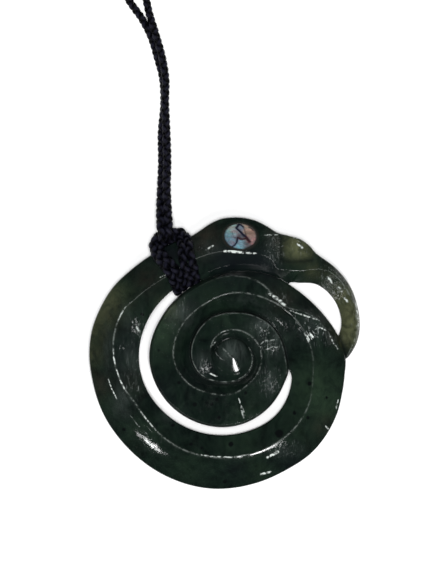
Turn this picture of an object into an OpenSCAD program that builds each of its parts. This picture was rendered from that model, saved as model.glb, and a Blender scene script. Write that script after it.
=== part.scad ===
// Manaia pendant: a carved greenstone spiral whose outer end is a beaked head, on a braided cord.
// It lies on its back with the cord passing under the ring, so it leans a little. Millimetres, +Z up,
// origin on the surface that it lies on, below the middle of the stone.

/* [Stone] */
// Width of the stone, rim to rim
stone_w = 65; // [60:0.5:68]
// Thickness of the outer ring at its ridge
ring_t = 6.8; // [6:0.1:6.8]
// Thickness of the spiral disc at its ridge
disc_t = 6.2; // [5.8:0.1:6.8]
// Thickness of the beak at its ridge
beak_t = 4.5; // [3.6:0.1:5.4]
// Thickness of the knob in the middle of the spiral
knob_t = 6.9; // [6:0.1:7.6]
// Height of the small step along each edge of the spiral
lip_h = 0.6; // [0.3:0.05:0.9]
// Width of that step
lip_w = 0.4; // [0.2:0.05:0.6]
// Radius left on the edges of the back
back_round = 1.1; // [0.6:0.1:1.4]

/* [Eye] */
// Length of the shell inlay
eye_l = 7.8; // [6:0.1:9]
// Width of the shell inlay, across the head
eye_w = 6.5; // [5:0.1:7]
// Depth of its pocket
eye_depth = 1.3; // [0.8:0.1:1.6]
// How far its top is domed
eye_dome = 0.45; // [0.2:0.05:0.6]
// Lean of the inlay towards the outer edge, in degrees
eye_lean = 20; // [12:1:26]
// Play between the inlay and its pocket
eye_play = 0.1; // [0.05:0.05:0.2]

/* [Cord] */
// Diameter of the braided cord
cord_d = 1.8; // [1.4:0.1:1.8]
// Length of the barrel that closes the loop
clasp_l = 20; // [16:1:22]
// Diameter of that barrel
clasp_d = 5; // [4:0.5:6]

/* [Pose] */
// Lean of the stone where the cord lifts its ring, in degrees
lean = 2; // [1.9:0.1:2.1]

/* [Hidden] */

scale_up = stone_w / 65;
// Middle of the spiral, seen from the middle of the stone
centre = [1.9, -0.57] * scale_up;
// The hitch lifts the stone in this direction
lift_angle = 120;

// The carving is one band that winds inwards: from the beak's tip at turn -2 through the head, round
// the ring, and in to the knob at turn 1108, in degrees. Each table is read between its rows.
// Outer edge of the band: turn, radius, height of the front there
EDGE = [
    [-2, 27.5, 2.5], [0, 28.4, 2.3], [5, 30.0, 1.9], [10, 31.1, 1.8], [15, 31.8, 1.8],
    [20, 32.3, 1.8], [30, 32.9, 1.8], [40, 32.6, 1.8], [50, 31.8, 1.8], [55, 32.3, 1.8],
    [60, 32.4, 1.9], [65, 31.8, 2.1], [70, 31.5, 2.2], [75, 32.2, 2.3], [80, 32.9, 2.4],
    [85, 33.2, 2.4], [90, 33.2, 2.4], [95, 32.9, 2.4], [100, 32.0, 2.4], [105, 30.9, 2.4],
    [110, 30.3, 2.4], [120, 30.6, 2.4], [130, 31.1, 2.4], [140, 31.9, 2.4], [150, 33.0, 2.3],
    [160, 33.7, 2.3], [170, 34.3, 2.2], [180, 34.4, 2.2], [190, 34.2, 2.2], [205, 34.1, 2.3],
    [220, 33.7, 2.4], [240, 33.3, 2.4], [260, 32.7, 2.4], [280, 31.5, 2.5], [295, 30.7, 2.5],
    [310, 30.4, 2.5], [330, 29.1, 2.5], [340, 28.2, 2.5], [350, 27.6, 2.5], [358, 27.4, 2.5],
    [370, 26.0, 2.6], [380, 24.6, 2.7], [390, 23.4, 2.8], [400, 22.5, 2.9], [412, 21.8, 3.0],
    [420, 21.6, 3.4], [435, 20.8, 3.6], [450, 20.0, 3.6], [480, 19.2, 4.4], [510, 19.3, 4.8],
    [540, 19.9, 4.9], [570, 19.3, 4.9], [600, 18.2, 4.9], [630, 17.0, 4.8], [660, 15.5, 4.7],
    [690, 14.2, 4.4], [706, 14.0, 4.2], [720, 13.1, 3.8], [750, 12.3, 3.5], [780, 11.4, 3.4],
    [810, 10.7, 3.4], [840, 10.8, 3.4], [870, 10.5, 3.5], [900, 10.2, 3.6], [930, 9.2, 3.8],
    [960, 7.5, 4.0], [990, 6.5, 4.2], [1050, 5.5, 4.5], [1080, 5.0, 4.6], [1108, 4.4, 4.7]
];
// Ridge of the band: turn, radius, height
RIDGE = [
    [-2, 27.3, 2.6], [4, 28.8, 3.6], [10, 30.2, 0.95 * beak_t], [22, 31.6, beak_t],
    [29, 31.7, beak_t], [38, 31.3, beak_t], [44, 29.8, beak_t + 0.1], [51, 26.2, beak_t + 0.3],
    [57, 24.5, beak_t + 0.6], [63, 23.5, beak_t + 1.1], [68, 24.9, ring_t - 0.5], [75, 25.2, ring_t - 0.2],
    [95, 25.2, ring_t], [112, 24.9, ring_t], [129, 24.7, ring_t], [149, 26.9, ring_t],
    [157, 28.3, ring_t], [175, 28.6, ring_t], [195, 27.1, ring_t], [207, 25.7, ring_t],
    [240, 25.3, ring_t], [270, 24.2, ring_t], [300, 23.2, ring_t], [315, 22.5, ring_t],
    [330, 21.4, ring_t], [345, 19.9, ring_t - 0.1], [360, 19.2, ring_t - 0.2], [390, 17.5, disc_t + 0.3],
    [420, 15.9, disc_t + 0.2], [450, 15.1, disc_t + 0.1], [480, 14.1, disc_t], [540, 14.1, disc_t],
    [570, 12.5, disc_t], [600, 10.3, disc_t], [630, 9.0, disc_t], [660, 7.7, disc_t],
    [690, 7.2, disc_t], [750, 6.7, disc_t], [780, 6.4, disc_t], [840, 6.2, disc_t],
    [870, 5.7, disc_t], [930, 5.3, disc_t - 0.2], [990, 5.0, disc_t - 0.4], [1108, 4.4, disc_t - 0.9]
];
// Inner edge of the band where it is cut free, beside the beak's gap and the long slit:
// turn, radius, height of the front there
FREE = [
    [10, 26.6, 2.1], [20, 27.9, 2.0], [30, 27.9, 2.0], [40, 26.5, 2.1], [50, 23.1, 2.6],
    [112, 20.0, 3.6], [118, 21.4, 4.0], [130, 21.2, 4.4], [150, 21.8, 4.6], [180, 22.4, 4.6],
    [200, 22.2, 4.6], [220, 21.4, 4.6], [240, 20.5, 4.6], [260, 19.6, 4.6], [280, 18.8, 4.6],
    [300, 18.2, 4.6], [310, 17.7, 4.5], [320, 17.0, 4.4], [330, 16.2, 4.3], [340, 15.3, 4.1],
    [346, 14.2, 4.0]
];
knob_r = 4.4;
knob_foot = 4.7;

// The band is cut into stations 6 degrees apart, so 60 stations further in lies the next turn
step = 6;
first_turn = -2;
turn_stations = 60;
last_station = 185;
// Stations at the two ends of the beak's gap and of the long slit
gap_ends = [2, 9];
slit_ends = [19, 58];
// Places across the band: 0 its outer edge, last its inner edge
across = 10;
ridge_place = 5;
back_across = 3;

function turn(i) = first_turn + step * i;
function row(table, t, i = 0) = t <= table[i + 1][0] || i >= len(table) - 2 ? i : row(table, t, i + 1);
function slope(table, i, c) = let (a = table[max(i - 1, 0)], b = table[min(i + 1, len(table) - 1)])
    (b[c] - a[c]) / (b[0] - a[0]);
// Smooth curve through a table's rows
function read(table, t, c) = let (
    i = row(table, t), a = table[i], b = table[i + 1], w = b[0] - a[0], x = (t - a[0]) / w,
    m = slope(table, i, c) * w, n = slope(table, i + 1, c) * w
) (1 + 2 * x) * pow(1 - x, 2) * a[c] + x * pow(1 - x, 2) * m
    + x * x * (3 - 2 * x) * b[c] + x * x * (x - 1) * n;

function between(i, ends) = i > ends[0] && i < ends[1];
function is_free(i) = between(i, gap_ends) || between(i, slit_ends);
function edge_r(i) = scale_up * read(EDGE, turn(i), 1);
function edge_z(i) = read(EDGE, turn(i), 2);
function inner_r(i) = is_free(i) ? scale_up * read(FREE, turn(i), 1)
    : i + turn_stations > last_station ? scale_up * knob_r : edge_r(i + turn_stations);
function inner_z(i) = is_free(i) ? read(FREE, turn(i), 2)
    : i + turn_stations > last_station ? knob_foot : edge_z(i + turn_stations);

// The nose lobe swells out of the band in front of the head: its place from the spiral's middle
lobe = [15.6, 25.2] * scale_up;
function lobe_z(p) = 0.7 * exp(-pow((p[0] - lobe[0]) / 3.6, 2) - pow((p[1] - lobe[1]) / 2.2, 2));

// Front of the band at a distance r from the middle: a step up from the edge, a round shoulder to
// the ridge, then a hollow slope down to the inner edge
function front_z(i, r) = let (
    e = edge_r(i), k = scale_up * read(RIDGE, turn(i), 1), n = inner_r(i),
    ez = edge_z(i), kz = read(RIDGE, turn(i), 2), nz = inner_z(i),
    lw = max(0.01, min(lip_w, 0.3 * (e - k))), lz = ez + min(lip_h, 0.5 * (kz - ez)),
    s = (e - r) / lw, f = (e - lw - r) / max(0.01, e - lw - k), u = (k - r) / max(0.01, k - n)
) r > e - lw ? ez + (lz - ez) * sin(90 * s)
    : r > k ? lz + (kz - lz) * (1 - pow(1 - f, 2))
    : nz + (kz - nz) * pow(max(1 - u, 0), 1.2);
shoulder = [0, 0, 0.28, 0.55, 0.8];
hollow = [0.25, 0.5, 0.75, 0.93, 1];
function place_r(i, j) = let (
    e = edge_r(i), k = scale_up * read(RIDGE, turn(i), 1), n = inner_r(i), lw = min(lip_w, 0.3 * (e - k))
) j == 0 ? e : j < ridge_place ? e - lw - shoulder[j] * (e - lw - k)
    : j == ridge_place ? k : k - hollow[j - ridge_place - 1] * (k - n);
function around(i, r) = [r * cos(turn(i)), r * sin(turn(i))];
function front_point(i, j) = let (r = place_r(i, j), p = around(i, r))
    [p[0], p[1], front_z(i, r) + lobe_z(p)];

// Back of the band: flat, and rounded up to the edges that are free
function rim_free(i) = i <= turn_stations;
function lip_free(i) = between(i - turn_stations, gap_ends) || between(i - turn_stations, slit_ends);
function back_point(i, j) = let (
    e = edge_r(i), n = inner_r(i), in_e = min(back_round, 0.4 * (e - n)), in_n = min(0.5, 0.3 * (e - n)),
    r = [e, e - in_e, n + in_n, n][j], p = around(i, r)
) [p[0], p[1], j == 0 ? (rim_free(i) ? 0.8 : lip_free(i) ? 0.5 : 0) : j == 3 && is_free(i) ? 0.5 : 0];

// Knob: rings of the dome and its top
knob_rings = [1, 0.85, 0.6, 0.3];
function knob_point(k, m) = let (r = scale_up * knob_r * knob_rings[m], p = around(k + 5, r))
    [p[0], p[1], knob_foot + (knob_t - knob_foot) * sqrt(1 - pow(knob_rings[m], 2))];

// Number of each point in the list of points
stations = last_station + 1;
back_start = stations * (across + 1);
knob_start = back_start + stations * (back_across + 1);
knob_back = knob_start + turn_stations * len(knob_rings);
knob_top = knob_back + turn_stations;
function knob_at(i) = (i - last_station + 2 * turn_stations) % turn_stations;
function front_id(i, j) =
    i == 0 ? front_id(turn_stations, 0)
    : i == last_station ? knob_start + knob_at(i)
    : j < across || is_free(i) ? i * (across + 1) + j
    : i + turn_stations > last_station ? knob_start + knob_at(i) : front_id(i + turn_stations, 0);
function back_id(i, j) =
    i == 0 ? back_id(turn_stations, 0)
    : i == last_station ? knob_back + knob_at(i)
    : j < back_across || is_free(i) ? back_start + i * (back_across + 1) + j
    : i + turn_stations > last_station ? knob_back + knob_at(i) : back_id(i + turn_stations, 0);

stone_points = concat(
    [for (i = [0:last_station]) for (j = [0:across]) front_point(i, j)],
    [for (i = [0:last_station]) for (j = [0:back_across]) back_point(i, j)],
    [for (m = [0:len(knob_rings) - 1]) for (k = [0:turn_stations - 1]) knob_point(k, m)],
    [for (k = [0:turn_stations - 1]) let (p = knob_point(k, 0)) [p[0], p[1], 0]],
    [[0, 0, knob_t], [0, 0, 0]]
);
// A four-sided patch as the triangles that have an area
function patch(a, b, c, d) = [
    if (a != b && b != c && a != c) [a, b, c],
    if (a != c && c != d && a != d) [a, c, d]
];
stone_faces = concat(
    [for (i = [0:last_station - 1]) for (j = [0:across - 1])
        each patch(front_id(i, j), front_id(i, j + 1), front_id(i + 1, j + 1), front_id(i + 1, j))],
    [for (i = [0:last_station - 1]) for (j = [0:back_across - 1])
        each patch(back_id(i, j), back_id(i + 1, j), back_id(i + 1, j + 1), back_id(i, j + 1))],
    [for (i = [0:last_station - 1])
        if (i < turn_stations || is_wall(i - turn_stations))
            each patch(front_id(i, 0), front_id(i + 1, 0), back_id(i + 1, 0), back_id(i, 0))],
    [for (i = [0:turn_stations]) if (is_wall(i))
        each patch(front_id(i + 1, across), front_id(i, across),
            back_id(i, back_across), back_id(i + 1, back_across))],
    [for (m = [0:len(knob_rings) - 2]) for (k = [0:turn_stations - 1])
        let (a = knob_start + m * turn_stations, n = (k + 1) % turn_stations)
        each patch(a + k, a + k + turn_stations, a + n + turn_stations, a + n)],
    [for (k = [0:turn_stations - 1])
        let (a = knob_back - turn_stations, n = (k + 1) % turn_stations) [a + k, knob_top, a + n]],
    [for (k = [0:turn_stations - 1])
        [knob_back + k, knob_back + (k + 1) % turn_stations, knob_top + 1]]
);
function is_wall(i) = i >= gap_ends[0] && i < gap_ends[1] || i >= slit_ends[0] && i < slit_ends[1];

// The stone leans towards the side away from the hitch, and its lowest point touches the surface
function raise(p) = let (d = [cos(lift_angle), sin(lift_angle)], h = p[0] * d[0] + p[1] * d[1])
    [p[0] + d[0] * (h * (cos(lean) - 1) - p[2] * sin(lean)),
     p[1] + d[1] * (h * (cos(lean) - 1) - p[2] * sin(lean)),
     p[2] * cos(lean) + h * sin(lean)];
function from_middle(p) = [p[0] + centre[0], p[1] + centre[1], p[2]];
stone_floor = -min([for (p = stone_points) raise(from_middle(p))[2]]);
function settle(p) = raise(from_middle(p)) + [0, 0, stone_floor];

// Shell inlay: its place from the spiral's middle, and its outline as an oval
eye_place = [1.9, 28.63, 5.45] * scale_up;
eye_sides = 32;
module lean_stone() {
    translate([0, 0, stone_floor]) rotate(a = lean, v = [sin(lift_angle), -cos(lift_angle), 0])
        translate([centre[0], centre[1], 0]) children();
}
module at_eye() {
    translate(eye_place) rotate([-eye_lean, 0, -4]) children();
}
module oval(l, w) {
    polygon([for (k = [0:eye_sides - 1]) [l / 2 * cos(360 * k / eye_sides), w / 2 * sin(360 * k / eye_sides)]]);
}

module spiral_stone() {
    color("#1e2a24") lean_stone() difference() {
        polyhedron(stone_points, stone_faces);
        at_eye() translate([0, 0, -eye_depth])
            linear_extrude(4 + eye_depth) oval(eye_l + 2 * eye_play, eye_w + 2 * eye_play);
    }
}

// Low dome on an upright edge: rings as share of the dome's height and of the outline's size
dome_rings = [[0.5, 0.86], [0.85, 0.55]];
module shell_eye() {
    floor_z = -eye_depth + eye_play;
    points = concat(
        [for (k = [0:eye_sides - 1]) eye_point(k, 1, floor_z)],
        [for (k = [0:eye_sides - 1]) eye_point(k, 1, 0)],
        [for (r = dome_rings) for (k = [0:eye_sides - 1]) eye_point(k, r[1], r[0] * eye_dome)],
        [[0, 0, floor_z], [0, 0, eye_dome]]
    );
    last = 3 * eye_sides;
    faces = concat(
        [for (m = [0:2]) for (k = [0:eye_sides - 1]) let (n = (k + 1) % eye_sides, a = m * eye_sides)
            each patch(a + k, a + k + eye_sides, a + n + eye_sides, a + n)],
        [for (k = [0:eye_sides - 1]) let (n = (k + 1) % eye_sides) [last + k, 4 * eye_sides + 1, last + n]],
        [for (k = [0:eye_sides - 1]) let (n = (k + 1) % eye_sides) [k, n, 4 * eye_sides]]
    );
    color("#9fb6c4") lean_stone() at_eye() polyhedron(points, faces);
}
function eye_point(k, share, z) = let (a = 360 * k / eye_sides)
    [share * eye_l / 2 * cos(a), share * eye_w / 2 * sin(a), z];

// The hitch is two turns of cord on each side of the strands, as one band that runs up the front of
// the ring from the slit, over the outer rim, and back below the stone.
// Rows along the band: x, y, z, half its width, the direction of its width in degrees, half its thickness
HITCH = [
    [-9.5, 16.1, 3.9, 2.4, 34, 0.55], [-9.5, 16.1, 6.7, 2.6, 34, 0.6], [-9.9, 17.5, 8.4, 3.0, 32, 0.75],
    [-10.2, 19.8, 9.7, 3.7, 28, 0.8], [-10.9, 22.2, 10.2, 4.1, 26, 0.8], [-11.7, 23.9, 9.4, 4.4, 24, 0.8],
    [-12.4, 25.6, 7.9, 4.6, 22, 0.8], [-13.1, 28.1, 5.6, 4.2, 22, 0.9], [-13.1, 28.0, 2.7, 3.8, 22, 0.8],
    [-12.5, 25.8, 0.82, 3.3, 24, 0.8], [-10.7, 20.0, 0.82, 3.0, 28, 0.8], [-9.8, 17.2, 0.85, 2.7, 34, 0.7],
    [-9.5, 16.1, 1.7, 2.4, 34, 0.55]
];
// Outline of the band across it: shares of half its width and of half its thickness
BAND = [[-1, -0.4], [-0.85, -1], [0.85, -1], [1, -0.4], [1, 0.4], [0.85, 1], [-0.85, 1], [-1, 0.4]];

function unit(v) = v / norm(v);
// The hitch and the loop keep to the stone when its width is changed
function spread(p) = [p[0] * scale_up, p[1] * scale_up, p[2]];
// Side walls between closed outlines of n points, one outline after another, and back to the first
function loop_faces(rows, n) = [for (i = [0:rows - 1]) for (k = [0:n - 1])
    let (a = i * n, b = ((i + 1) % rows) * n, l = (k + 1) % n)
    each patch(a + k, a + l, b + l, b + k)];

module cord_hitch() {
    rows = len(HITCH);
    points = [for (i = [0:rows - 1]) let (
        h = HITCH[i], w = [cos(h[4]), sin(h[4]), 0],
        along = unit(spread(HITCH[(i + 1) % rows]) - spread(HITCH[(i + rows - 1) % rows])),
        out = unit(cross(w, along))
    ) for (q = BAND) spread(h) + w * q[0] * h[3] * scale_up + out * q[1] * h[5]];
    color("#15161d") polyhedron(points, loop_faces(rows, len(BAND)));
}

// Route of the neck loop's middle line: up the left strand, round the neck, through the barrel, and
// down the right strand, which lies on the left one between the hitch and the fork
ROUTE = [
    [-15.1, 29.4, 6.1], [-15.3, 34, 4.7], [-15.1, 40, 2.6], [-14.9, 46, 1.2], [-15.0, 53, 0.95],
    [-14.45, 60, 0.95], [-14.75, 66, 0.95], [-16.1, 71, 0.95], [-17.8, 76, 0.95], [-20.2, 80.5, 0.95],
    [-23, 84.7, 0.95], [-28.5, 94, 0.95], [-31.7, 108, 0.95], [-31.8, 128, 0.95], [-29.5, 150, 0.95],
    [-25, 167, 1.0], [-19.5, 179, 1.3], [-15, 185.2, 2.1], [-10.5, 186.8, clasp_d / 2], [-5, 186.8, clasp_d / 2],
    [5, 186.8, clasp_d / 2], [10.5, 186.8, clasp_d / 2], [16, 185, 2.0], [22.5, 179, 1.25], [29, 167, 0.95],
    [31.7, 153, 0.95], [29, 138, 0.95], [20, 126, 0.95], [6, 117, 0.95], [-8, 108, 0.95],
    [-17, 98, 0.95], [-19, 89, 0.95], [-18.2, 83, 0.95], [-16.6, 77.5, 1.55], [-15.0, 71.5, 2.55],
    [-14.1, 66, 2.85], [-14.15, 60, 2.85], [-13.9, 53, 2.65], [-13.7, 46, 2.8], [-13.8, 40, 4.1],
    [-13.5, 34, 5.5], [-13.2, 29.8, 6.1]
];
cord_sides = 8;
// Each stretch between two route points becomes this many
cord_cuts = 2;

function curve(p, x) = 0.5 * (2 * p[1] + (p[2] - p[0]) * x + (2 * p[0] - 5 * p[1] + 4 * p[2] - p[3]) * x * x
    + (3 * p[1] - 3 * p[2] + p[3] - p[0]) * x * x * x);
line = concat(
    [for (i = [0:len(ROUTE) - 2]) for (c = [0:cord_cuts - 1]) spread(curve(
        [ROUTE[max(i - 1, 0)], ROUTE[i], ROUTE[i + 1], ROUTE[min(i + 2, len(ROUTE) - 1)]], c / cord_cuts))],
    [spread(ROUTE[len(ROUTE) - 1])]
);

module neck_cord() {
    last = len(line) - 1;
    points = [for (i = [0:last]) let (
        along = unit(line[min(i + 1, last)] - line[max(i - 1, 0)]),
        side = unit(cross([0, 0, 1], along)), up = cross(along, side)
    ) for (k = [0:cord_sides - 1]) let (a = 360 * k / cord_sides)
        line[i] + cord_d / 2 * (side * cos(a) + up * sin(a))];
    faces = concat(
        [for (i = [0:last - 1]) for (k = [0:cord_sides - 1])
            let (a = i * cord_sides, b = a + cord_sides, l = (k + 1) % cord_sides)
            each patch(a + k, b + k, b + l, a + l)],
        [[for (k = [0:cord_sides - 1]) k]],
        [[for (k = [0:cord_sides - 1]) last * cord_sides + cord_sides - 1 - k]]
    );
    color("#15161d") polyhedron(points, faces);
}

// Plain barrel with rounded ends, bored for the cord
module cord_clasp() {
    bore_r = cord_d / 2 + 0.15;
    end_r = 1;
    color("#2b211c") translate([0, 186.8 * scale_up, clasp_d / 2]) rotate([0, 90, 0])
        rotate_extrude($fn = 48) translate([0, -clasp_l / 2]) difference() {
            union() {
                translate([0, end_r]) square([clasp_d / 2, clasp_l - 2 * end_r]);
                square([clasp_d / 2 - end_r, clasp_l]);
                for (y = [end_r, clasp_l - end_r])
                    translate([clasp_d / 2 - end_r, y]) circle(end_r, $fn = 32);
            }
            translate([-1, -1]) square([1 + bore_r, clasp_l + 2]);
        }
}

spiral_stone();
shell_eye();
cord_hitch();
neck_cord();
cord_clasp();
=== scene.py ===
# Manaia pendant: a carved greenstone spiral with a shell eye, hitched to a braided cord.
# It lies on a pale table, and its neck loop runs on outside the camera's view.
import math

import bpy
import numpy as np
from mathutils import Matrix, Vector


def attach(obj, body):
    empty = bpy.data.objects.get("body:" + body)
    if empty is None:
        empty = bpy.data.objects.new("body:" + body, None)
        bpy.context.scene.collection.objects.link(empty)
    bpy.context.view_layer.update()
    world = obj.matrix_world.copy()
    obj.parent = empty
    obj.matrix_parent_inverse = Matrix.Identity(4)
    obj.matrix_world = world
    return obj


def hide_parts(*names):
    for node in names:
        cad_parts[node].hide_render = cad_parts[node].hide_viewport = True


mm = 0.001  # every table below is in millimetres

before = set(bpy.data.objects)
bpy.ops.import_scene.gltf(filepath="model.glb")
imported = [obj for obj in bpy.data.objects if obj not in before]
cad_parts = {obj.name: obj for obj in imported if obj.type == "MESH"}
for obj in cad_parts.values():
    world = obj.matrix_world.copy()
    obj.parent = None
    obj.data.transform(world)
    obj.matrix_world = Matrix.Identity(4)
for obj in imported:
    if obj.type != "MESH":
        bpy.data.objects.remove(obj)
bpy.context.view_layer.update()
print("frame loaded with", len(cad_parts), "nodes")

cameraData = {
    "middle": (-1.8, 15.4),  # the place on the table in the middle of the picture
    "height": 560,
    "faceHeight": 5,  # about the height of the stone's face, where the seen length is measured
    "seenLength": 138.5,  # what the picture shows from its bottom edge to its top edge
}


def newObject(name, data):
    made = bpy.data.objects.new(name, data)
    bpy.context.collection.objects.link(made)
    return made


def makeCamera(data):
    camera = bpy.data.cameras.new("camera")
    camera.lens = camera.sensor_width * (data["height"] - data["faceHeight"]) / data["seenLength"]
    camera.clip_start, camera.clip_end = 0.01, 20
    camera.dof.use_dof = False
    holder = newObject("camera", camera)
    holder.location = (data["middle"][0] * mm, data["middle"][1] * mm, data["height"] * mm)
    bpy.context.scene.camera = holder


makeCamera(cameraData)

# Softboxes: where each stands round the table (degrees from +X), its tilt from straight overhead,
# its distance, its width and its length towards the zenith, and how bright its face is
lightData = {
    "southStrip": {"azimuth": 292, "tilt": 32, "distance": 700, "width": 84, "length": 260, "glow": 27},
    "southWest": {"azimuth": 233, "tilt": 54, "distance": 720, "width": 120, "length": 26, "glow": 36},
    "ceiling": {"azimuth": 0, "tilt": 0, "distance": 900, "width": 200, "length": 200, "glow": 66},
}
skyData = {"Color": (0.85, 0.95, 1, 1), "Strength": 0.035}  # faint, even light from everywhere else


def makeLights(lights, sky):
    for name, d in lights.items():
        lamp = bpy.data.lights.new(name, "AREA")
        lamp.shape = "RECTANGLE"
        lamp.size, lamp.size_y = d["width"] * mm, d["length"] * mm
        lamp.energy = d["glow"] * math.pi * lamp.size * lamp.size_y
        holder = newObject(name, lamp)
        a, t = math.radians(d["azimuth"]), math.radians(d["tilt"])
        away = Vector((math.cos(a) * math.sin(t), math.sin(a) * math.sin(t), math.cos(t)))
        holder.location = away * d["distance"] * mm
        holder.rotation_euler = away.to_track_quat("Z", "Y").to_euler()
        holder.visible_glossy = name != "ceiling"  # the soft ceiling lights the table but leaves no glint
    world = bpy.data.worlds.new("studio")
    bpy.context.scene.world = world
    world.use_nodes = True
    for socket, value in sky.items():
        world.node_tree.nodes["Background"].inputs[socket].default_value = value
    bpy.context.scene.view_settings.view_transform = "Standard"


makeLights(lightData, skyData)
print("camera and", len(lightData), "softboxes made")


# A mesh from an array of points and an array of triangles
def makeMesh(name, points, triangles, material):
    used, triangles = np.unique(triangles, return_inverse=True)
    triangles = triangles.reshape(-1, 3)
    points = np.asarray(points, float)[used]
    mesh = bpy.data.meshes.new(name)
    mesh.vertices.add(len(points))
    mesh.vertices.foreach_set("co", (points * mm).ravel())
    mesh.loops.add(triangles.size)
    mesh.loops.foreach_set("vertex_index", triangles.ravel().astype(np.int32))
    mesh.polygons.add(len(triangles))
    mesh.polygons.foreach_set("loop_start", np.arange(0, triangles.size, 3, dtype=np.int32))
    mesh.polygons.foreach_set("use_smooth", np.ones(len(triangles), bool))
    mesh.update(calc_edges=True)
    mesh.validate()
    mesh.materials.append(material)
    piece = newObject(name, mesh)
    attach(piece, "root")
    return piece, used


# A value, colour or vector for each point, which a material reads by its name
def paint(piece, name, values, kind="FLOAT"):
    layer = piece.data.attributes.new(name, kind, "POINT")
    field = {"FLOAT": "value", "FLOAT_COLOR": "color", "FLOAT_VECTOR": "vector"}[kind]
    layer.data.foreach_set(field, np.asarray(values, np.float32).ravel())


# The four-sided cells of a grid of point numbers as triangles, without those that a shared point closes
def gridTriangles(a, b, c, d):
    cells = np.stack([a.ravel(), b.ravel(), c.ravel(), d.ravel()], 1)
    both = np.concatenate([cells[:, [0, 1, 2]], cells[:, [0, 2, 3]]])
    apart = (both[:, 0] != both[:, 1]) & (both[:, 1] != both[:, 2]) & (both[:, 0] != both[:, 2])
    return both[apart]


# The strips between closed rings of point numbers, one ring to a row
def ringTriangles(at):
    onward = np.roll(at, -1, -1)
    return gridTriangles(at[..., :-1, :], onward[..., :-1, :], onward[..., 1:, :], at[..., 1:, :])


# A closed ring joined to one point
def fan(ring, tip):
    return np.stack([ring, np.roll(ring, -1), np.full(len(ring), tip)], 1)


def smoothStep(x):
    x = np.clip(x, 0, 1)
    return x * x * (3 - 2 * x)


# Share that comes in smoothly: 0 at the first place, 1 at the second
def comesIn(x, start, end):
    return smoothStep((x - start) / (end - start))


# 1 in the middle, falling off to either side
def bell(away, width):
    return np.exp(-(away / width) ** 2)


# Place at a turn in degrees and a radius
def atTurn(turn, r):
    return r * np.cos(np.radians(turn)), r * np.sin(np.radians(turn))


# Straight lines through a table's rows
def readPlain(rows, at):
    return np.interp(at, *np.transpose(rows))


# Smooth curves through a table's rows, one for each column: a cubic between two rows, with slopes from the
# rows on either side
def readTable(rows, at):
    x, *columns = np.transpose(rows)
    before = np.maximum(np.arange(len(x)) - 1, 0)
    after = np.minimum(np.arange(len(x)) + 1, len(x) - 1)
    i = np.clip(np.searchsorted(x, at, side="left") - 1, 0, len(x) - 2)
    w = x[i + 1] - x[i]
    s = (at - x[i]) / w
    curves = []
    for y in columns:
        slopes = (y[after] - y[before]) / (x[after] - x[before])
        start = (1 + 2 * s) * (1 - s) ** 2 * y[i] + s * (1 - s) ** 2 * slopes[i] * w
        curves.append(start + s * s * (3 - 2 * s) * y[i + 1] + s * s * (s - 1) * slopes[i + 1] * w)
    return curves


# Shader helpers: a material with its Principled shader, its nodes, and the links between them
def newMaterial(name, colour, roughness, **sockets):
    material = bpy.data.materials.new(name)
    material.use_nodes = True
    material.diffuse_color = (*colour, 1)
    shader = material.node_tree.nodes["Principled BSDF"]
    shader.inputs["Base Color"].default_value = (*colour, 1)
    shader.inputs["Roughness"].default_value = roughness
    for socket, value in sockets.items():
        shader.inputs[socket].default_value = value
    return material, shader


def node(material, kind, inputs=None, **settings):
    made = material.node_tree.nodes.new("ShaderNode" + kind)
    for key, value in settings.items():
        setattr(made, key, value)
    for key, value in (inputs or {}).items():
        if isinstance(value, bpy.types.NodeSocket):
            material.node_tree.links.new(value, made.inputs[key])
        else:
            made.inputs[key].default_value = value
    return made


def ramp(material, value, stops):
    made = node(material, "ValToRGB", {"Fac": value})
    elements = made.color_ramp.elements
    while len(elements) < len(stops):
        elements.new(0.5)
    for element, (position, shade) in zip(elements, stops):
        element.position = position
        element.color = (*shade, 1) if isinstance(shade, tuple) else (shade, shade, shade, 1)
    return made.outputs["Color"]


def mixColour(material, share, first, second, blend="MIX"):
    made = node(material, "Mix", {0: share, 6: first, 7: second}, data_type="RGBA", blend_type=blend)
    return made.outputs[2]


def sums(material, operation, first, second=0.0, clamp=False):
    return node(material, "Math", {0: first, 1: second}, operation=operation, use_clamp=clamp).outputs[0]


def times(material, first, second):
    return sums(material, "MULTIPLY", first, second)


# What paint() put on the mesh under that name
def painted(material, name, output="Fac"):
    return node(material, "Attribute", attribute_name=name).outputs[output]


def objectPlace(material):
    return node(material, "TexCoord").outputs["Object"]


def turned(material, place, angle, scale):
    made = node(material, "Mapping", {"Vector": place, "Rotation": (0, 0, angle), "Scale": scale})
    return made.outputs[0]


def feed(material, shader, socket, value):
    material.node_tree.links.new(value, shader.inputs[socket])


def noise(material, place, scale, detail=4.0, roughness=0.55, distortion=0.0):
    made = node(material, "TexNoise", {"Vector": place, "Scale": scale, "Detail": detail,
                                       "Roughness": roughness, "Distortion": distortion})
    return made.outputs["Fac"]


def bump(material, shader, height, strength, distance, under=None):
    inputs = {"Height": height, "Strength": strength, "Distance": distance * mm}
    if under is not None:
        inputs["Normal"] = under
    made = node(material, "Bump", inputs)
    feed(material, shader, "Normal", made.outputs["Normal"])
    return made.outputs["Normal"]


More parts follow.
